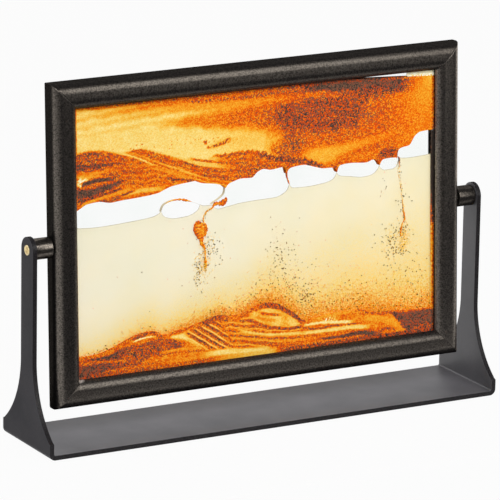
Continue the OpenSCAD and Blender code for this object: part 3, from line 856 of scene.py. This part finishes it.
# Depths of the thin pieces behind the panes, in millimetres
FILM_Y, WALL_Y = (-1.9, -1.6), (-1.9, -1.75)
THREAD_Y, GRAIN_Y = -1.42, 1.62


def fill(x, low, high, rows, seed):
    """Closed slab of sand from pane to pane between two curves, a little uneven behind the panes."""
    points, faces, across, z = slab(x, low, high, np.linspace(0, 1, rows), 0.0, 1.0)
    front = (0.05 + 0.04 * waves(across, z, seed, 3.0)).ravel() - (HALF_GAP - CLEAR)
    points[:, 1] = np.concatenate([front, -front])
    return points, faces, across, z


# Pieces
class SANDPIC_OT_stand(bpy.types.Operator):
    """Bends the stand from a flat sheet: half depth as a function of the way along it, carried round the
    two bends"""
    bl_idname = "sandpic.stand"
    bl_label = "Stand"
    bl_options = {"REGISTER", "UNDO"}

    def execute(self, context):
        s = context.scene.sand_stand
        t, r = s.sheet, s.bend_radius + s.sheet / 2
        low, high = STAND
        side_x, floor_z, deep = high[0] - t / 2, low[2] + t / 2, high[1]
        half_arm = s.arm_width / 2
        flare_foot = low[2] + s.foot_height
        flare_in = s.flare_radius - deep + s.foot_tip + half_arm
        flare_top = flare_foot + math.sqrt(s.flare_radius ** 2 - flare_in ** 2)
        neck = PIVOT[2] - half_arm
        # Path from the middle of the base to the neck of the arm: x and z of the sheet's middle
        bend = np.linspace(0, np.pi / 2, 9)
        flat = np.linspace(0, side_x - r, 20)[:-1]
        rise = np.concatenate([
            [flare_foot], np.linspace(flare_foot + s.foot_tip, flare_top, 30),
            np.linspace(flare_top, neck, 11)[1:],
        ])
        x = np.concatenate([flat, side_x - r + r * np.sin(bend), np.full_like(rise, side_x)])
        z = np.concatenate([np.full_like(flat, floor_z), floor_z + r - r * np.cos(bend), rise])
        drop = np.clip(flare_top - z, 0, None)
        hollow = s.flare_radius - np.sqrt(np.clip(s.flare_radius ** 2 - drop ** 2, 0, None))
        half = np.where(z <= flare_foot, deep, half_arm + hollow)
        spread = np.tan(np.linspace(-np.pi / 4, np.pi / 4, 17))
        level = np.ones_like(spread)
        strip = sheet(np.stack([x[:, None] * level, half[:, None] * spread, z[:, None] * level], -1))
        # Head: rings from the pin's hole out to a half circle above and a half square below
        turn = np.linspace(-np.pi / 4, 7 * np.pi / 4, 65)
        c, v = np.cos(turn), np.sin(turn)
        reach = np.where(v >= 0, half_arm, half_arm / np.maximum(np.abs(c), np.abs(v)))
        hole = s.pin_hole / 2
        radius = hole + (reach - hole) * np.linspace(0, 1, 5)[:, None]
        head, faces = sheet(np.stack([np.full_like(radius, side_x), radius * c, PIVOT[2] + radius * v], -1))
        right = join([strip, (head, faces[:, ::-1])])
        points, faces = join([right, (right[0] * [-1, 1, 1], right[1][:, ::-1])])
        # Painted sheen: the paint's sheen is set little on the left arm and most on the right one, for how
        # the light falls
        crown = np.interp(points[:, 0], [-side_x, r - side_x, side_x - r, side_x], [0.12, 1.0, 1.0, 3.4])
        paint = grained(
            "stand_paint", s.colour, s.pale, scale=1600.0, roughness=0.42, specular=0.2, painted_sheen=True)
        # Near-black edges of the sheet: painted shade
        cut = satin("stand_edge_shade", s.edge, s.edge_pale, scale=1600.0, low=0.012, high=0.012, roughness=0.4,
                    bump=0.1, depth=0.04 * MM)
        piece = make_piece("stand", points, faces, paint, "stand", ["stand_bracket"],
                           {"crown": crown}, merge=1e-6)
        piece.data.materials.append(cut)
        solid = piece.modifiers.new("Sheet", "SOLIDIFY")
        solid.thickness, solid.offset, solid.use_even_offset, solid.material_offset_rim = t, 0.0, True, 1
        ease = piece.modifiers.new("Ease", "BEVEL")
        ease.width, ease.segments, ease.harden_normals = s.edge_ease, 2, True
        ease.limit_method, ease.angle_limit = "ANGLE", math.radians(50)
        return {"FINISHED"}


class SANDPIC_OT_pivots(bpy.types.Operator):
    """Turns spacers and pins about the pivot axis: distance and radius as functions of the way round the
    profile"""
    bl_idname = "sandpic.pivots"
    bl_label = "Spacers and Pins"
    bl_options = {"REGISTER", "UNDO"}

    def execute(self, context):
        s = context.scene.sand_pivot
        plastic = satin("spacer_plastic", s.plastic, s.plastic_pale, scale=1100.0, low=0.04, high=0.09,
                        roughness=0.26, bump=0.25, shine=context.scene.sand_moulding.shine)
        brass = satin("pin_brass", s.dish_brass, s.brass, scale=900.0, low=0.5, high=0.95, roughness=0.3,
                      bump=0.05, shine=s.brass_shine, highlight_and_pale_mark=s.rim_highlight_brass)
        # Profiles as distance from the middle and radius
        inner, outer = SPACER[0][0], SPACER[1][0]
        radius, bore, e = (SPACER[1][2] - SPACER[0][2]) / 2, s.shank / 2 + s.bore_clear, s.spacer_ease
        arc = np.linspace(0, np.pi / 2, 6)
        spacer = np.concatenate([
            [(inner, bore)],
            np.stack([inner + e - e * np.cos(arc), radius - e + e * np.sin(arc)], -1),
            np.stack([outer - e + e * np.sin(arc), radius - e + e * np.cos(arc)], -1),
            [(outer, bore), (inner, bore)],
        ])
        tip, end, f = PIN[0][0], PIN[1][0], s.pin_ease
        shank, journal, dish = s.shank / 2, s.journal / 2, s.dish / 2
        bowl = np.linspace(0, 1, 9)
        pin = np.concatenate([
            [(tip, 0), (tip, journal - f), (tip + f, journal), (inner, journal), (inner, shank)],
            np.stack([end - f + f * np.sin(arc), shank - f + f * np.cos(arc)], -1),
            np.stack([end - s.dish_depth * np.sin(bowl * np.pi / 2) ** 0.8, dish * (1 - bowl)], -1),
        ])
        pin_sides = 48
        # Painted highlight on the rim round the dish: the rim colour and the most shine go there
        highlight_and_pale_mark = np.repeat(smooth(0.8 * dish, 1.15 * dish, pin[:, 1]), pin_sides)
        for side, name in ((-1, "left"), (1, "right")):
            points, faces = revolve(spacer, side)
            # Painted sheen: the left spacer shines more than the right one, for how the light falls on them
            crown = np.full(len(points), float(side < 0))
            make_piece(name + "_boss", points, faces, plastic, "stand", [name + "_spacer"],
                       {"crown": crown}, merge=1e-6)
            points, faces = revolve(pin, side, pin_sides)
            make_piece(name + "_pin", points, faces, brass, "stand", [name + "_pivot_pin"],
                       {"highlight_and_pale_mark": highlight_and_pale_mark, "crown": highlight_and_pale_mark}, merge=1e-6, crease=50.0)
        return {"FINISHED"}


class SANDPIC_OT_moulding(bpy.types.Operator):
    """Carries the moulding's rounded section along each side of the frame to its mitres, easing the mitres'
    edges"""
    bl_idname = "sandpic.moulding"
    bl_label = "Moulding"
    bl_options = {"REGISTER", "UNDO"}

    def execute(self, context):
        s = context.scene.sand_moulding
        half_w, half_d, half_h = RAILS[1]
        wide, r = TOP_RAIL[1][2] - TOP_RAIL[0][2], s.edge_radius
        groove = GLASS[1][1] + s.groove_clear
        lip = math.asin((groove - half_d + r) / r)
        # Section as depth and distance from the outer side: front lip round to the back lip
        corner = np.linspace(lip, np.pi / 2, 16)
        outer = np.linspace(0, np.pi / 2, 18)
        front = np.concatenate([
            np.stack([-(half_d - r + r * np.sin(corner)), wide - r + r * np.cos(corner)], -1),
            np.stack([-(half_d - r + r * np.cos(outer)), r - r * np.sin(outer)], -1),
        ])
        contour = np.concatenate([front, front[::-1] * [-1, 1]])
        floor = wide - s.groove_depth
        section = np.concatenate([contour, [(groove, floor), (-groove, floor)]])
        inward = np.gradient(contour, axis=0)[:, ::-1] * [-1, 1]
        inward /= np.linalg.norm(inward, axis=1, keepdims=True)
        inward *= np.sign(np.sum(inward * ([0, wide / 2] - contour), axis=1, keepdims=True))
        inward = np.concatenate([inward, np.zeros((2, 2))])
        # Stations from the mitre inwards: distance from it, how far the section draws in, how pale it is made
        e = s.mitre_ease
        back_off = np.array([0, 0.1 * e, 0.4 * e, 1.0 * e, 3.0 * e, 4 * MM, 20 * MM])
        draw = e * np.array([1.0, 0.6, 0.22, 0.0, 0.0, 0.0, 0.0])
        highlight_and_pale_mark = np.array([0.5, 0.3, 0.1, 0.0, 0.0, 0.0, 0.0])
        highlight_and_pale_mark = np.concatenate([highlight_and_pale_mark, highlight_and_pale_mark[::-1]])[:, None]
        ring = section + inward * draw[:, None, None]
        ends = np.concatenate([ring, ring[::-1]])
        inset = ring[..., 1] + back_off[:, None]
        way_in = section[:, 1] / wide
        material = satin("moulding_plastic", s.colour, s.pale, scale=1100.0, low=0.012, high=0.06,
                         roughness=0.32, bump=0.3, shine=s.shine, highlight_and_pale_mark=s.highlight_and_pale_mark)
        # Each side's half length, distance out, shine at shares of the way in, and way round
        # The shine tables are painted sheen: how much each side shines across its section, set differently on
        # the two stiles for how the light falls
        rail = [(0, 0), (0.06, 0), (0.28, 1), (1, 1)]
        left = [(0, 0), (0.03, 0), (0.08, 2.7), (0.18, 2.6), (0.3, 1.2), (0.4, 0.5), (0.6, 0.4), (0.8, 1.2),
                (1, 3.5)]
        right = [(0, 1), (0.04, 1.5), (0.1, 7), (0.2, 4.5), (0.3, 2.4), (0.42, 1.2), (0.6, 1.2), (0.8, 2.2),
                 (1, 3)]
        for name, span, out, shine, turn in (
            ("top_rail", half_w, half_h, rail, lambda x, y, z: (x, y, z)),
            ("bottom_rail", half_w, half_h, rail, lambda x, y, z: (-x, y, -z)),
            ("left_stile", half_h, half_w, left, lambda x, y, z: (-z, y, x)),
            ("right_stile", half_h, half_w, right, lambda x, y, z: (z, y, -x)),
        ):
            x = np.concatenate([inset - span, (span - inset)[::-1]])
            points = np.stack(turn(x, ends[..., 0], out - ends[..., 1]), -1)
            # Pale spot at the bottom left inner corner of the front; painted highlight lightening the stiles'
            # shaded inner lips
            pale_spot = np.hypot(
                points[..., 0] + half_w - wide + 0.2 * MM, points[..., 2] + half_h - wide + 0.4 * MM)
            pale_spot = 1.4 * smooth(2.2 * MM, 0.6 * MM, pale_spot) * (points[..., 1] < 0)
            lip = 0.2 * smooth(0.9, 1.0, way_in) * (shine is not rail)
            values = {
                "crown": np.tile(line(way_in, shine), len(ends)),
                "highlight_and_pale_mark": (np.maximum(highlight_and_pale_mark, pale_spot) + lip).ravel(),
            }
            points, faces = sheet(points, closed=True)
            first = np.arange(len(section))
            caps = [first.tolist(), (len(points) - 1 - first).tolist()]
            make_piece(name + "_moulding", hang(points), faces, material, "picture",
                       [name], values, caps, crease=30.0)
        return {"FINISHED"}


class SANDPIC_OT_cell(bpy.types.Operator):
    """Gives the glass, the seal and the hidden fittings, which keep their CAD shapes, their finishes"""
    bl_idname = "sandpic.cell"
    bl_label = "Glass and Fittings"
    bl_options = {"REGISTER", "UNDO"}

    def execute(self, context):
        glass = glass_material("pane_glass")
        seal = grained("seal_rubber", srgb(30, 22, 18), srgb(58, 36, 24), 1500.0, 0.3, specular=0.4)
        finishes = {
            "front_pane": glass, "rear_pane": glass, "edge_seal": seal, "filler_plug": seal,
            "packing_strips": grained("packing_rubber", srgb(84, 80, 72), srgb(120, 114, 102), 900.0, 0.8),
            "corner_keys": grained(
                "key_steel", srgb(140, 140, 142), srgb(188, 188, 190), 700.0, 0.35, metallic=1.0),
            "left_bush": grained("bush_nylon", srgb(206, 202, 190), srgb(236, 232, 222), 600.0, 0.5),
            "foot_pads": grained("pad_rubber", srgb(22, 22, 22), srgb(46, 46, 46), 1200.0, 0.85),
        }
        finishes["right_bush"] = finishes["left_bush"]
        for name, material in finishes.items():
            mesh = frame["nodes"][name].data
            mesh.materials.clear()
            mesh.materials.append(material)
        return {"FINISHED"}


class SANDPIC_OT_upper_sand(bpy.types.Operator):
    """Fills the top of the cell with sand, from the ceiling down to the tops of the bubbles"""
    bl_idname = "sandpic.upper_sand"
    bl_label = "Upper Sand"
    bl_options = {"REGISTER", "UNDO"}

    def execute(self, context):
        x = columns(-HALF_W, HALF_W, 380, [p[0][0] for p in SAND_FOOT[1:]])
        points, faces, across, z = fill(x, stitched(x, SAND_FOOT), line(x, CEILING) - CLEAR, 104, 51)
        tone = np.tile(upper_tone(across, z).ravel(), 2)
        material = sand_material("sand_amber")
        make_piece("upper_sand_pattern", hang(points * MM), faces, material, "picture",
                   ["upper_sand"], {"tone": tone})
        # Pale sheet at the end of the gap between the ceiling and the top of the cell: painted light for the
        # bright background seen through the liquid there, with dots of sand along its foot
        x = np.linspace(106, HALF_W - 0.1, 80)
        low, high = line(x, CEILING), np.full_like(x, TOP_Z - 0.05)
        points, faces, across, z = slab(x, low + 0.05, high, np.linspace(0, 1, 9), *FILM_Y)
        tone = 0.02 + dotted(0.5 * smooth(1.2, 0.3, z - low), across, z, 55, 1.3, 0.35)
        make_piece("painted_backlight_film", hang(points * MM), faces, material, "picture",
                   values={"tone": np.tile(tone.ravel(), 2)})
        return {"FINISHED"}


class SANDPIC_OT_sand_bed(bpy.types.Operator):
    """Fills the bottom of the cell with dunes, from the floor up to their crest"""
    bl_idname = "sandpic.sand_bed"
    bl_label = "Sand Bed"
    bl_options = {"REGISTER", "UNDO"}

    def execute(self, context):
        x = columns(-HALF_W, HALF_W, 440)
        crest = line(x, CREST) + 0.25 * waves(x, 0 * x, 52, 2.2)
        points, faces, across, z = fill(x, np.full_like(x, FLOOR_Z + CLEAR), crest, 56, 53)
        tone = np.tile(bed_tone(across, z).ravel(), 2)
        make_piece("sand_bed_pattern", hang(points * MM), faces, sand_material("sand_rust"), "picture",
                   ["sand_bed"], {"tone": tone})
        return {"FINISHED"}


class SANDPIC_OT_liquid(bpy.types.Operator):
    """Fills the middle of the cell with liquid, from the dunes up to the undersides of the bubbles,
    thinning to the front pane there, with films between bubbles"""
    bl_idname = "sandpic.liquid"
    bl_label = "Liquid"
    bl_options = {"REGISTER", "UNDO"}

    def execute(self, context):
        half_w, half_gap = HALF_W - 0.05, 1.25
        x = columns(-half_w, half_w, 320, [p[0][0] for p in LIQUID_TOP[1:]])
        top = stitched(x, LIQUID_TOP)
        rows = np.concatenate([np.linspace(0, 0.98, 78), [0.986, 0.99, 0.993, 0.996, 0.998, 1]])
        points, faces, across, z = slab(x, line(x, CREST) - 0.8, top, rows, -half_gap, half_gap)
        points[z.size:, 1] -= (1.8 * half_gap * smooth(4.0, 0.0, top - z)).ravel()
        haze = np.tile(liquid_haze(across, z).ravel(), 2)
        rim = (0.6 * smooth(0.42, 0.1, top - z)).ravel()
        rim = np.concatenate([rim, 0.2 * rim])
        parts, hazes, rims = [(points, faces)], [haze], [rim]
        stations, sides = 40, 8
        for path in (
            [(-22.5, 24.2), (-22.8, 21.5), (-23.4, 20), (-25.8, 17.9), (-30.6, 15.4), (-32, 14.4)],
            [(-66.9, 13.6), (-65.6, 16.6), (-62.8, 18.8), (-57, 19.9), (-48.3, 18.3), (-42.5, 16.3),
             (-39.8, 15)],
            [(99.6, 31), (100.2, 30.2), (101.4, 29.6)],
        ):
            film = sweep(
                curve(path, stations), np.full(stations, 0.07), np.full(stations, half_gap), 0.0, sides)
            parts.append(film)
            hazes.append(np.full(len(film[0]), 0.1))
            rims.append(np.tile(0.4 * smooth(-0.8, -1.2, film[0][:sides, 1]), stations))
        points, faces = join(parts)
        make_piece("liquid_body", hang(points * MM), faces, liquid_material("liquid_clear"), "picture",
                   ["liquid"], {"haze": np.concatenate(hazes), "rim": np.concatenate(rims)})
        return {"FINISHED"}


# Falling threads, necks and the hollow drop: places, half width and tone at each
STRANDS = [
    [(-22.2, 18.2, 0.3, 0.66), (-22.2, 16.6, 1.4, 0.62), (-23.4, 15.3, 1.9, 0.58), (-25.4, 14.4, 1.6, 0.6),
     (-28, 14.7, 1.0, 0.46), (-30, 14.5, 0.9, 0.5), (-31.4, 12.4, 0.5, 0.5)],
    [(-30.6, 13.4, 0.3, 0.36), (-32.2, 11.9, 0.5, 0.4), (-34.9, 11, 0.22, 0.26), (-36.5, 9.2, 0.45, 0.42),
     (-37.6, 8.2, 0.25, 0.32), (-37.9, 5.8, 0.3, 0.36), (-37.6, 3.6, 0.6, 0.46)],
    [(-39.8, 3.9, 0.9, 0.56), (-41.8, 4.3, 1.2, 0.62), (-43.4, 2.4, 1.2, 0.58), (-43.6, 0.4, 1.3, 0.52),
     (-42.4, -2.4, 1.5, 0.58), (-40.6, -5, 1.6, 0.6), (-38.8, -4.8, 1.4, 0.54), (-37, -2.2, 1.3, 0.46),
     (-36.4, 0.4, 1.3, 0.56), (-37, 2.6, 1.1, 0.5), (-37.8, 4.2, 0.8, 0.46)],
    [(-40.4, 4, 2.2, 0.46), (-39.9, 0, 3.0, 0.4), (-39.6, -4.6, 1.8, 0.5)],
    [(-39.2, -4.6, 1.9, 0.56), (-39.4, -8.9, 1.3, 0.44), (-37.4, -11.5, 0.75, 0.5),
     (-36.8, -15.9, 0.45, 0.42), (-36.7, -20.7, 0.45, 0.38), (-36.2, -23.1, 0.9, 0.42),
     (-37, -25, 0.3, 0.3)],
    [(101, 27.4, 0.3, 0.6), (101, 25.4, 0.2, 0.46), (100.8, 23.4, 0.1, 0.34)],
    [(101.7, 12.6, 0.1, 0.3), (102, 11, 0.22, 0.34), (102.3, 9.4, 0.12, 0.3)],
    [(103.1, 3.8, 0.12, 0.32), (103.5, 0, 0.26, 0.36), (103.9, -3.5, 0.4, 0.42), (104.9, -9.5, 0.6, 0.46),
     (103, -13.2, 0.3, 0.4), (101.9, -19, 0.55, 0.44), (102.2, -21.4, 0.25, 0.38)],
    [(20.2, 29.2, 0.9, 0.62), (20.5, 26.4, 0.55, 0.64), (21.4, 23.6, 0.45, 0.62), (22.4, 21, 0.3, 0.6)],
    [(-64.4, 17.9, 0.1, 0.34), (-61.4, 19.4, 0.3, 0.4), (-57.6, 20.1, 0.5, 0.46), (-54, 20, 0.65, 0.5),
     (-50.2, 19.1, 0.55, 0.46), (-45.6, 17.7, 0.15, 0.38)],
    [(100.2, 30.4, 0.3, 0.8), (100.9, 28.8, 0.6, 0.85), (101, 27, 0.35, 0.7)],
]
# Clouds of loose grains: centre, spread, count and range of tones
CLOUDS = [
    ((-31, -14), (4, 7), 50, (0.85, 1.0)), ((-34, -14), (3, 9), 90, (0.2, 0.34)),
    ((-41, -25), (2.6, 7), 60, (0.8, 1.0)), ((-41, -25), (2.4, 6), 130, (0.2, 0.36)),
    ((97, -25), (5, 7), 90, (0.85, 1.0)), ((98, -23), (6, 7), 130, (0.2, 0.36)),
    ((103.5, -12), (3, 9), 40, (0.85, 1.0)), ((106, -18), (2.6, 4), 60, (0.22, 0.4)),
    ((90, 12), (1.6, 4), 14, (0.3, 1.0)), ((16, -22), (4.5, 8), 80, (0.75, 1.0)),
    ((24, -40), (9, 7), 80, (0.7, 1.0)), ((34, -51), (4, 4), 90, (0.5, 1.0)),
    ((108, -44), (9, 8), 50, (0.7, 1.0)), ((-10, -25), (60, 25), 60, (0.6, 0.9)),
    ((60, -48), (35, 8), 120, (0.3, 0.9)),
]
# Grains along the second thread and about the first: path, spread, count and range of tones
TRAILS = [
    ([(101, 28), (100.6, 20), (101.6, 13), (102.8, 6), (103.6, -1), (104.6, -9), (103, -14), (101.9, -20),
      (103, -24)], 0.5, 130, 0.2, 0.4),
    ([(101, 27), (101.4, 14), (102.6, 6), (104.4, -9), (102, -20)], 0.6, 28, 0.85, 1.0),
    ([(103.6, -18), (104.6, -24), (103, -30)], 1.7, 160, 0.2, 0.36),
    ([(-34, 12), (-38, 5), (-40, -4), (-38, -12), (-36.7, -20), (-37, -27)], 0.5, 130, 0.22, 0.4),
    ([(-40.4, 3), (-40, 0), (-39.6, -5)], 1.8, 170, 0.2, 0.7),
    ([(-38, -7), (-37, -14), (-38, -30)], 1.3, 120, 0.2, 0.38),
    ([(-34, 12), (-38, 5), (-40, -6), (-37, -14), (-36.5, -24)], 0.9, 40, 0.85, 1.0),
]


def threads():
    """Points, faces and tones of the falling threads: ovals carried along their paths, ragged and tapered."""
    sides = 12
    parts, tones = [], []
    for strand in STRANDS:
        strand = np.array(strand, float)
        knots, way = np.linspace(0, 1, len(strand)), np.linspace(0, 1, 12 * len(strand))
        wide, tone = (line(way, np.stack([knots, strand[:, k]], -1)) for k in (2, 3))
        taper = np.sqrt(np.clip(np.minimum(way, 1 - way) * 14, 0, 1))
        wide = wide * taper * (1 + 0.5 * waves(way * 40, 0 * way, 61, 3.0))
        deep = (np.minimum(wide, 0.45) + 0.02) * taper
        part = sweep(curve(strand[:, :2], len(way)), wide + 0.005, deep + 0.002, THREAD_Y, sides)
        parts.append(part)
        tones.append(np.repeat(tone, sides) + 0.2 * waves(part[0][:, 0], part[0][:, 2], 62, 1.5))
    return *join(parts), np.clip(np.concatenate(tones), 0, 1)


def grains():
    """Points, faces and tones of the loose grains: small octahedra scattered in clouds, along the threads
    and in a rain over the crest, close behind the panes."""
    rng = np.random.default_rng(71)
    place = np.concatenate([rng.normal(c, s, (n, 2)) for c, s, n, t in CLOUDS])
    tone = np.concatenate([rng.uniform(*t, n) for c, s, n, t in CLOUDS])
    for path, wide, count, low, high in TRAILS:
        place = np.concatenate([place, curve(path, count) + rng.normal(0, wide, (count, 2))])
        tone = np.concatenate([tone, rng.uniform(low, high, count)])
    # A rain of grains over the crest, thicker to the right, one in twenty of them dark
    drops = 8000
    x = rng.uniform(-124, 125, drops)
    rise = rng.exponential(line(x, [(-126, 1.2), (-40, 2.5), (10, 5), (126, 6)]))
    keep = rng.uniform(0, 1, drops) < line(x, [(-126, 0.1), (-60, 0.16), (0, 0.5), (126, 0.8)])
    place = np.concatenate([place, np.stack([x, line(x, CREST) + rise], -1)[keep]])
    rain = np.where(rng.uniform(0, 1, drops) < 0.05, 0.92, rng.uniform(0.24, 0.6, drops))
    tone = np.concatenate([tone, rain[keep]])
    x, z = place.T
    inside = (np.abs(x) < 124.5) & (z < stitched(x, LIQUID_TOP) - 1) & (z > line(x, CREST) + 0.4)
    place, tone = place[inside, :, None], tone[inside]
    # Octahedra: six corners each, turned by chance, larger where dark, most of them at the front
    size = (rng.uniform(0.18, 0.34, len(place)) + 0.12 * (tone > 0.8))[:, None]
    depth = np.where(rng.uniform(0, 1, len(place)) < 0.85, -GRAIN_Y, GRAIN_Y)[:, None]
    lean = rng.uniform(0, np.pi, len(place))[:, None]
    a, b, c = np.array([(1, 0, 0), (-1, 0, 0), (0, 1, 0), (0, -1, 0), (0, 0, 1), (0, 0, -1)], float).T
    gx = a * np.cos(lean) - c * np.sin(lean)
    gz = a * np.sin(lean) + c * np.cos(lean)
    points = np.stack([place[:, 0] + size * gx, depth + 0.3 * b, place[:, 1] + size * gz], -1)
    faces = np.array([(0, 2, 4), (2, 1, 4), (1, 3, 4), (3, 0, 4), (2, 0, 5), (1, 2, 5), (3, 1, 5), (0, 3, 5)])
    faces = faces + len(a) * np.arange(len(place))[:, None, None]
    return points.reshape(-1, 3), faces.reshape(-1, 3), np.repeat(tone, len(a))


def clinging():
    """Points, faces and tones of the sand on the cell's side walls: dark over orange at the right, an
    orange line at the left."""
    parts, tones = [], []
    for low, high, foot, top, dark, pale in (
        (123.6, 125.9, -14.0, 44.5, 1.3, 0.9), (123.6, 125.9, -69.0, -14.2, 0.56, 0.6),
        (-125.9, -124.2, -70.0, -4.0, 0.36, 0.52),
    ):
        x = np.linspace(low, high, 5)
        points, faces, across, z = slab(
            x, np.full_like(x, foot), np.full_like(x, top), np.linspace(0, 1, 160), *WALL_Y)
        tone = dark + (pale - dark) * smooth(foot + 0.5 * (top - foot), foot, z)
        tone = tone - 0.3 * smooth(1.4, 0.0, across - low)
        parts.append((points, faces))
        tones.append(np.tile((tone + 0.16 * waves(across, z, 63, 2.0)).ravel(), 2))
    return *join(parts), np.clip(np.concatenate(tones), 0, 1.3)


class SANDPIC_OT_falling_sand(bpy.types.Operator):
    """Carries ovals along the paths of the falling threads, necks and the hollow drop, and scatters loose
    grains"""
    bl_idname = "sandpic.falling_sand"
    bl_label = "Falling Sand"
    bl_options = {"REGISTER", "UNDO"}

    def execute(self, context):
        material = sand_material("sand_dark")
        points, faces, tone = threads()
        make_piece("falling_threads", hang(points * MM), faces, material, "picture",
                   ["falling_sand"], {"tone": tone}, merge=1e-7, crease=80.0)
        points, faces, tone = grains()
        make_piece("loose_grains", hang(points * MM), faces, grain_material("loose_grain"), "picture",
                   values={"tone": tone}, crease=180.0)
        points, faces, tone = clinging()
        make_piece("wall_sand", hang(points * MM), faces, material, "picture",
                   values={"tone": tone})
        return {"FINISHED"}


class SANDPIC_OT_stage(bpy.types.Operator):
    """Sets up the floor, the lamps, the world and the camera"""
    bl_idname = "sandpic.stage"
    bl_label = "Stage"
    bl_options = {"REGISTER", "UNDO"}

    def execute(self, context):
        s, scene = context.scene.sand_stage, context.scene
        # Floor: paper under and behind the object, cut away at the front right, white where it is seen
        mesh = bpy.data.meshes.new("floor")
        far, front, step_x, step_y = 9, -0.7, -0.22, -0.14
        mesh.from_pydata([
            (-far, front, 0), (step_x, front, 0), (step_x, step_y, 0), (far, step_y, 0), (far, far, 0),
            (-far, far, 0),
        ], [], [range(6)])
        floor = bpy.data.objects.new("floor", mesh)
        scene.collection.objects.link(floor)
        n = Nodes(bpy.data.materials.new("floor"))
        matt = n.put("BsdfDiffuse", {"Color": n.ramp(n.noise(3.0), [(0.3, s.floor), (0.7, s.floor_pale)])})
        rays = n.put("LightPath").node.outputs
        seen = n.sum("MAXIMUM", rays["Is Camera Ray"], rays["Is Glossy Ray"])
        seen = n.sum("MAXIMUM", seen, rays["Is Transmission Ray"])
        glow = n.put("Emission", {"Color": WHITE, "Strength": 1.0})
        mesh.materials.append(n.end(n.blend(n.sum("MULTIPLY", seen, s.floor_white), matt, glow)))
        # World: white where it is seen, and behind the object for its shine; dimmer as light
        n = Nodes(bpy.data.worlds.new("studio"), "World")
        rays = n.put("LightPath").node.outputs
        way = n.put("SeparateXYZ", {"Vector": n.put("TexCoord", output="Generated")}, "Y")
        shine = n.sum("MULTIPLY", rays["Is Glossy Ray"], n.carry(way, -0.1, 0.1, 0.0, 1.0))
        seen = n.sum("MAXIMUM", rays["Is Camera Ray"], shine)
        seen = n.sum("MAXIMUM", seen, rays["Is Transmission Ray"])
        level = n.carry(rays["Is Glossy Ray"], 0.0, 1.0, s.ambient, s.ambient_shine * s.ambient)
        dim = n.put("Background", {"Color": WHITE, "Strength": level})
        white = n.put("Background", {"Color": WHITE, "Strength": s.white})
        scene.world = n.end(n.blend(seen, dim, white))
        # Lamps: place, aim, width, height, power and colour
        for name, place, aim, wide, high, power, colour in (
            ("key", (-0.3, -3.0, 2.48), (0, 0, 0.12), 2.0, 1.6, 77.0, (1.0, 0.99, 0.98)),
            ("crown", (0.47, -0.87, 0.6), (0, 0, 0.12), 0.42, 0.86, 5.6, (1.0, 0.99, 0.97)),
            ("overhead", (-0.1, 0.35, 0.48), (0.05, 0, 0.03), 0.2, 0.3, 0.7, (1.0, 0.98, 0.97)),
        ):
            data = bpy.data.lights.new(name, "AREA")
            data.shape, data.size, data.size_y = "RECTANGLE", wide, high
            data.energy, data.color = power, colour
            lamp = bpy.data.objects.new(name, data)
            lamp.location = place
            lamp.rotation_euler = (Vector(aim) - Vector(place)).to_track_quat("-Z", "Y").to_euler()
            scene.collection.objects.link(lamp)
        # Camera: back along its angles from the pivots, then turned about its own axis
        a, e, r = s.azimuth, s.elevation, s.roll
        ahead = -Vector((math.sin(a) * math.cos(e), -math.cos(a) * math.cos(e), math.sin(e)))
        right = ahead.cross(Vector((0, 0, 1))).normalized()
        up = right.cross(ahead)
        right, up = math.cos(r) * right + math.sin(r) * up, math.cos(r) * up - math.sin(r) * right
        data = bpy.data.cameras.new("camera")
        data.sensor_width, data.lens = 36.0, s.lens
        data.clip_start, data.clip_end = 0.1, 40.0
        camera = bpy.data.objects.new("camera", data)
        turn = Matrix((right, up, -ahead)).transposed().to_4x4()
        position = Vector(PIVOT) - s.aside * right - s.above * up - s.distance * ahead
        camera.matrix_world = Matrix.Translation(position) @ turn
        scene.collection.objects.link(camera)
        scene.camera = camera
        scene.view_settings.view_transform = "Standard"
        return {"FINISHED"}


class SANDPIC_PT_panel(bpy.types.Panel):
    """Lists the pieces of the sand picture."""
    bl_idname = "SANDPIC_PT_panel"
    bl_label = "Sand Picture"
    bl_space_type = "VIEW_3D"
    bl_region_type = "UI"
    bl_category = "Sand Picture"

    def draw(self, context):
        for operator in OPERATORS:
            self.layout.operator(operator.bl_idname)


SETTINGS = {
    "sand_moulding": SandMouldingSettings, "sand_stand": SandStandSettings, "sand_pivot": SandPivotSettings,
    "sand_pattern": SandPatternSettings, "sand_liquid": SandLiquidSettings, "sand_stage": SandStageSettings,
}
OPERATORS = (
    SANDPIC_OT_stand, SANDPIC_OT_pivots, SANDPIC_OT_moulding, SANDPIC_OT_cell, SANDPIC_OT_upper_sand,
    SANDPIC_OT_sand_bed, SANDPIC_OT_liquid, SANDPIC_OT_falling_sand, SANDPIC_OT_stage,
)


def register():
    for name, group in SETTINGS.items():
        bpy.utils.register_class(group)
        setattr(bpy.types.Scene, name, PointerProperty(type=group))
    for cls in (*OPERATORS, SANDPIC_PT_panel):
        bpy.utils.register_class(cls)


def unregister():
    for cls in reversed((*OPERATORS, SANDPIC_PT_panel)):
        bpy.utils.unregister_class(cls)
    for name, group in reversed(list(SETTINGS.items())):
        delattr(bpy.types.Scene, name)
        bpy.utils.unregister_class(group)


def main():
    register()
    bpy.ops.sandpic.stand()
    bpy.ops.sandpic.pivots()
    bpy.ops.sandpic.moulding()
    bpy.ops.sandpic.cell()
    bpy.ops.sandpic.upper_sand()
    bpy.ops.sandpic.sand_bed()
    bpy.ops.sandpic.liquid()
    bpy.ops.sandpic.falling_sand()
    bpy.ops.sandpic.stage()


if __name__ == "__main__":
    main()
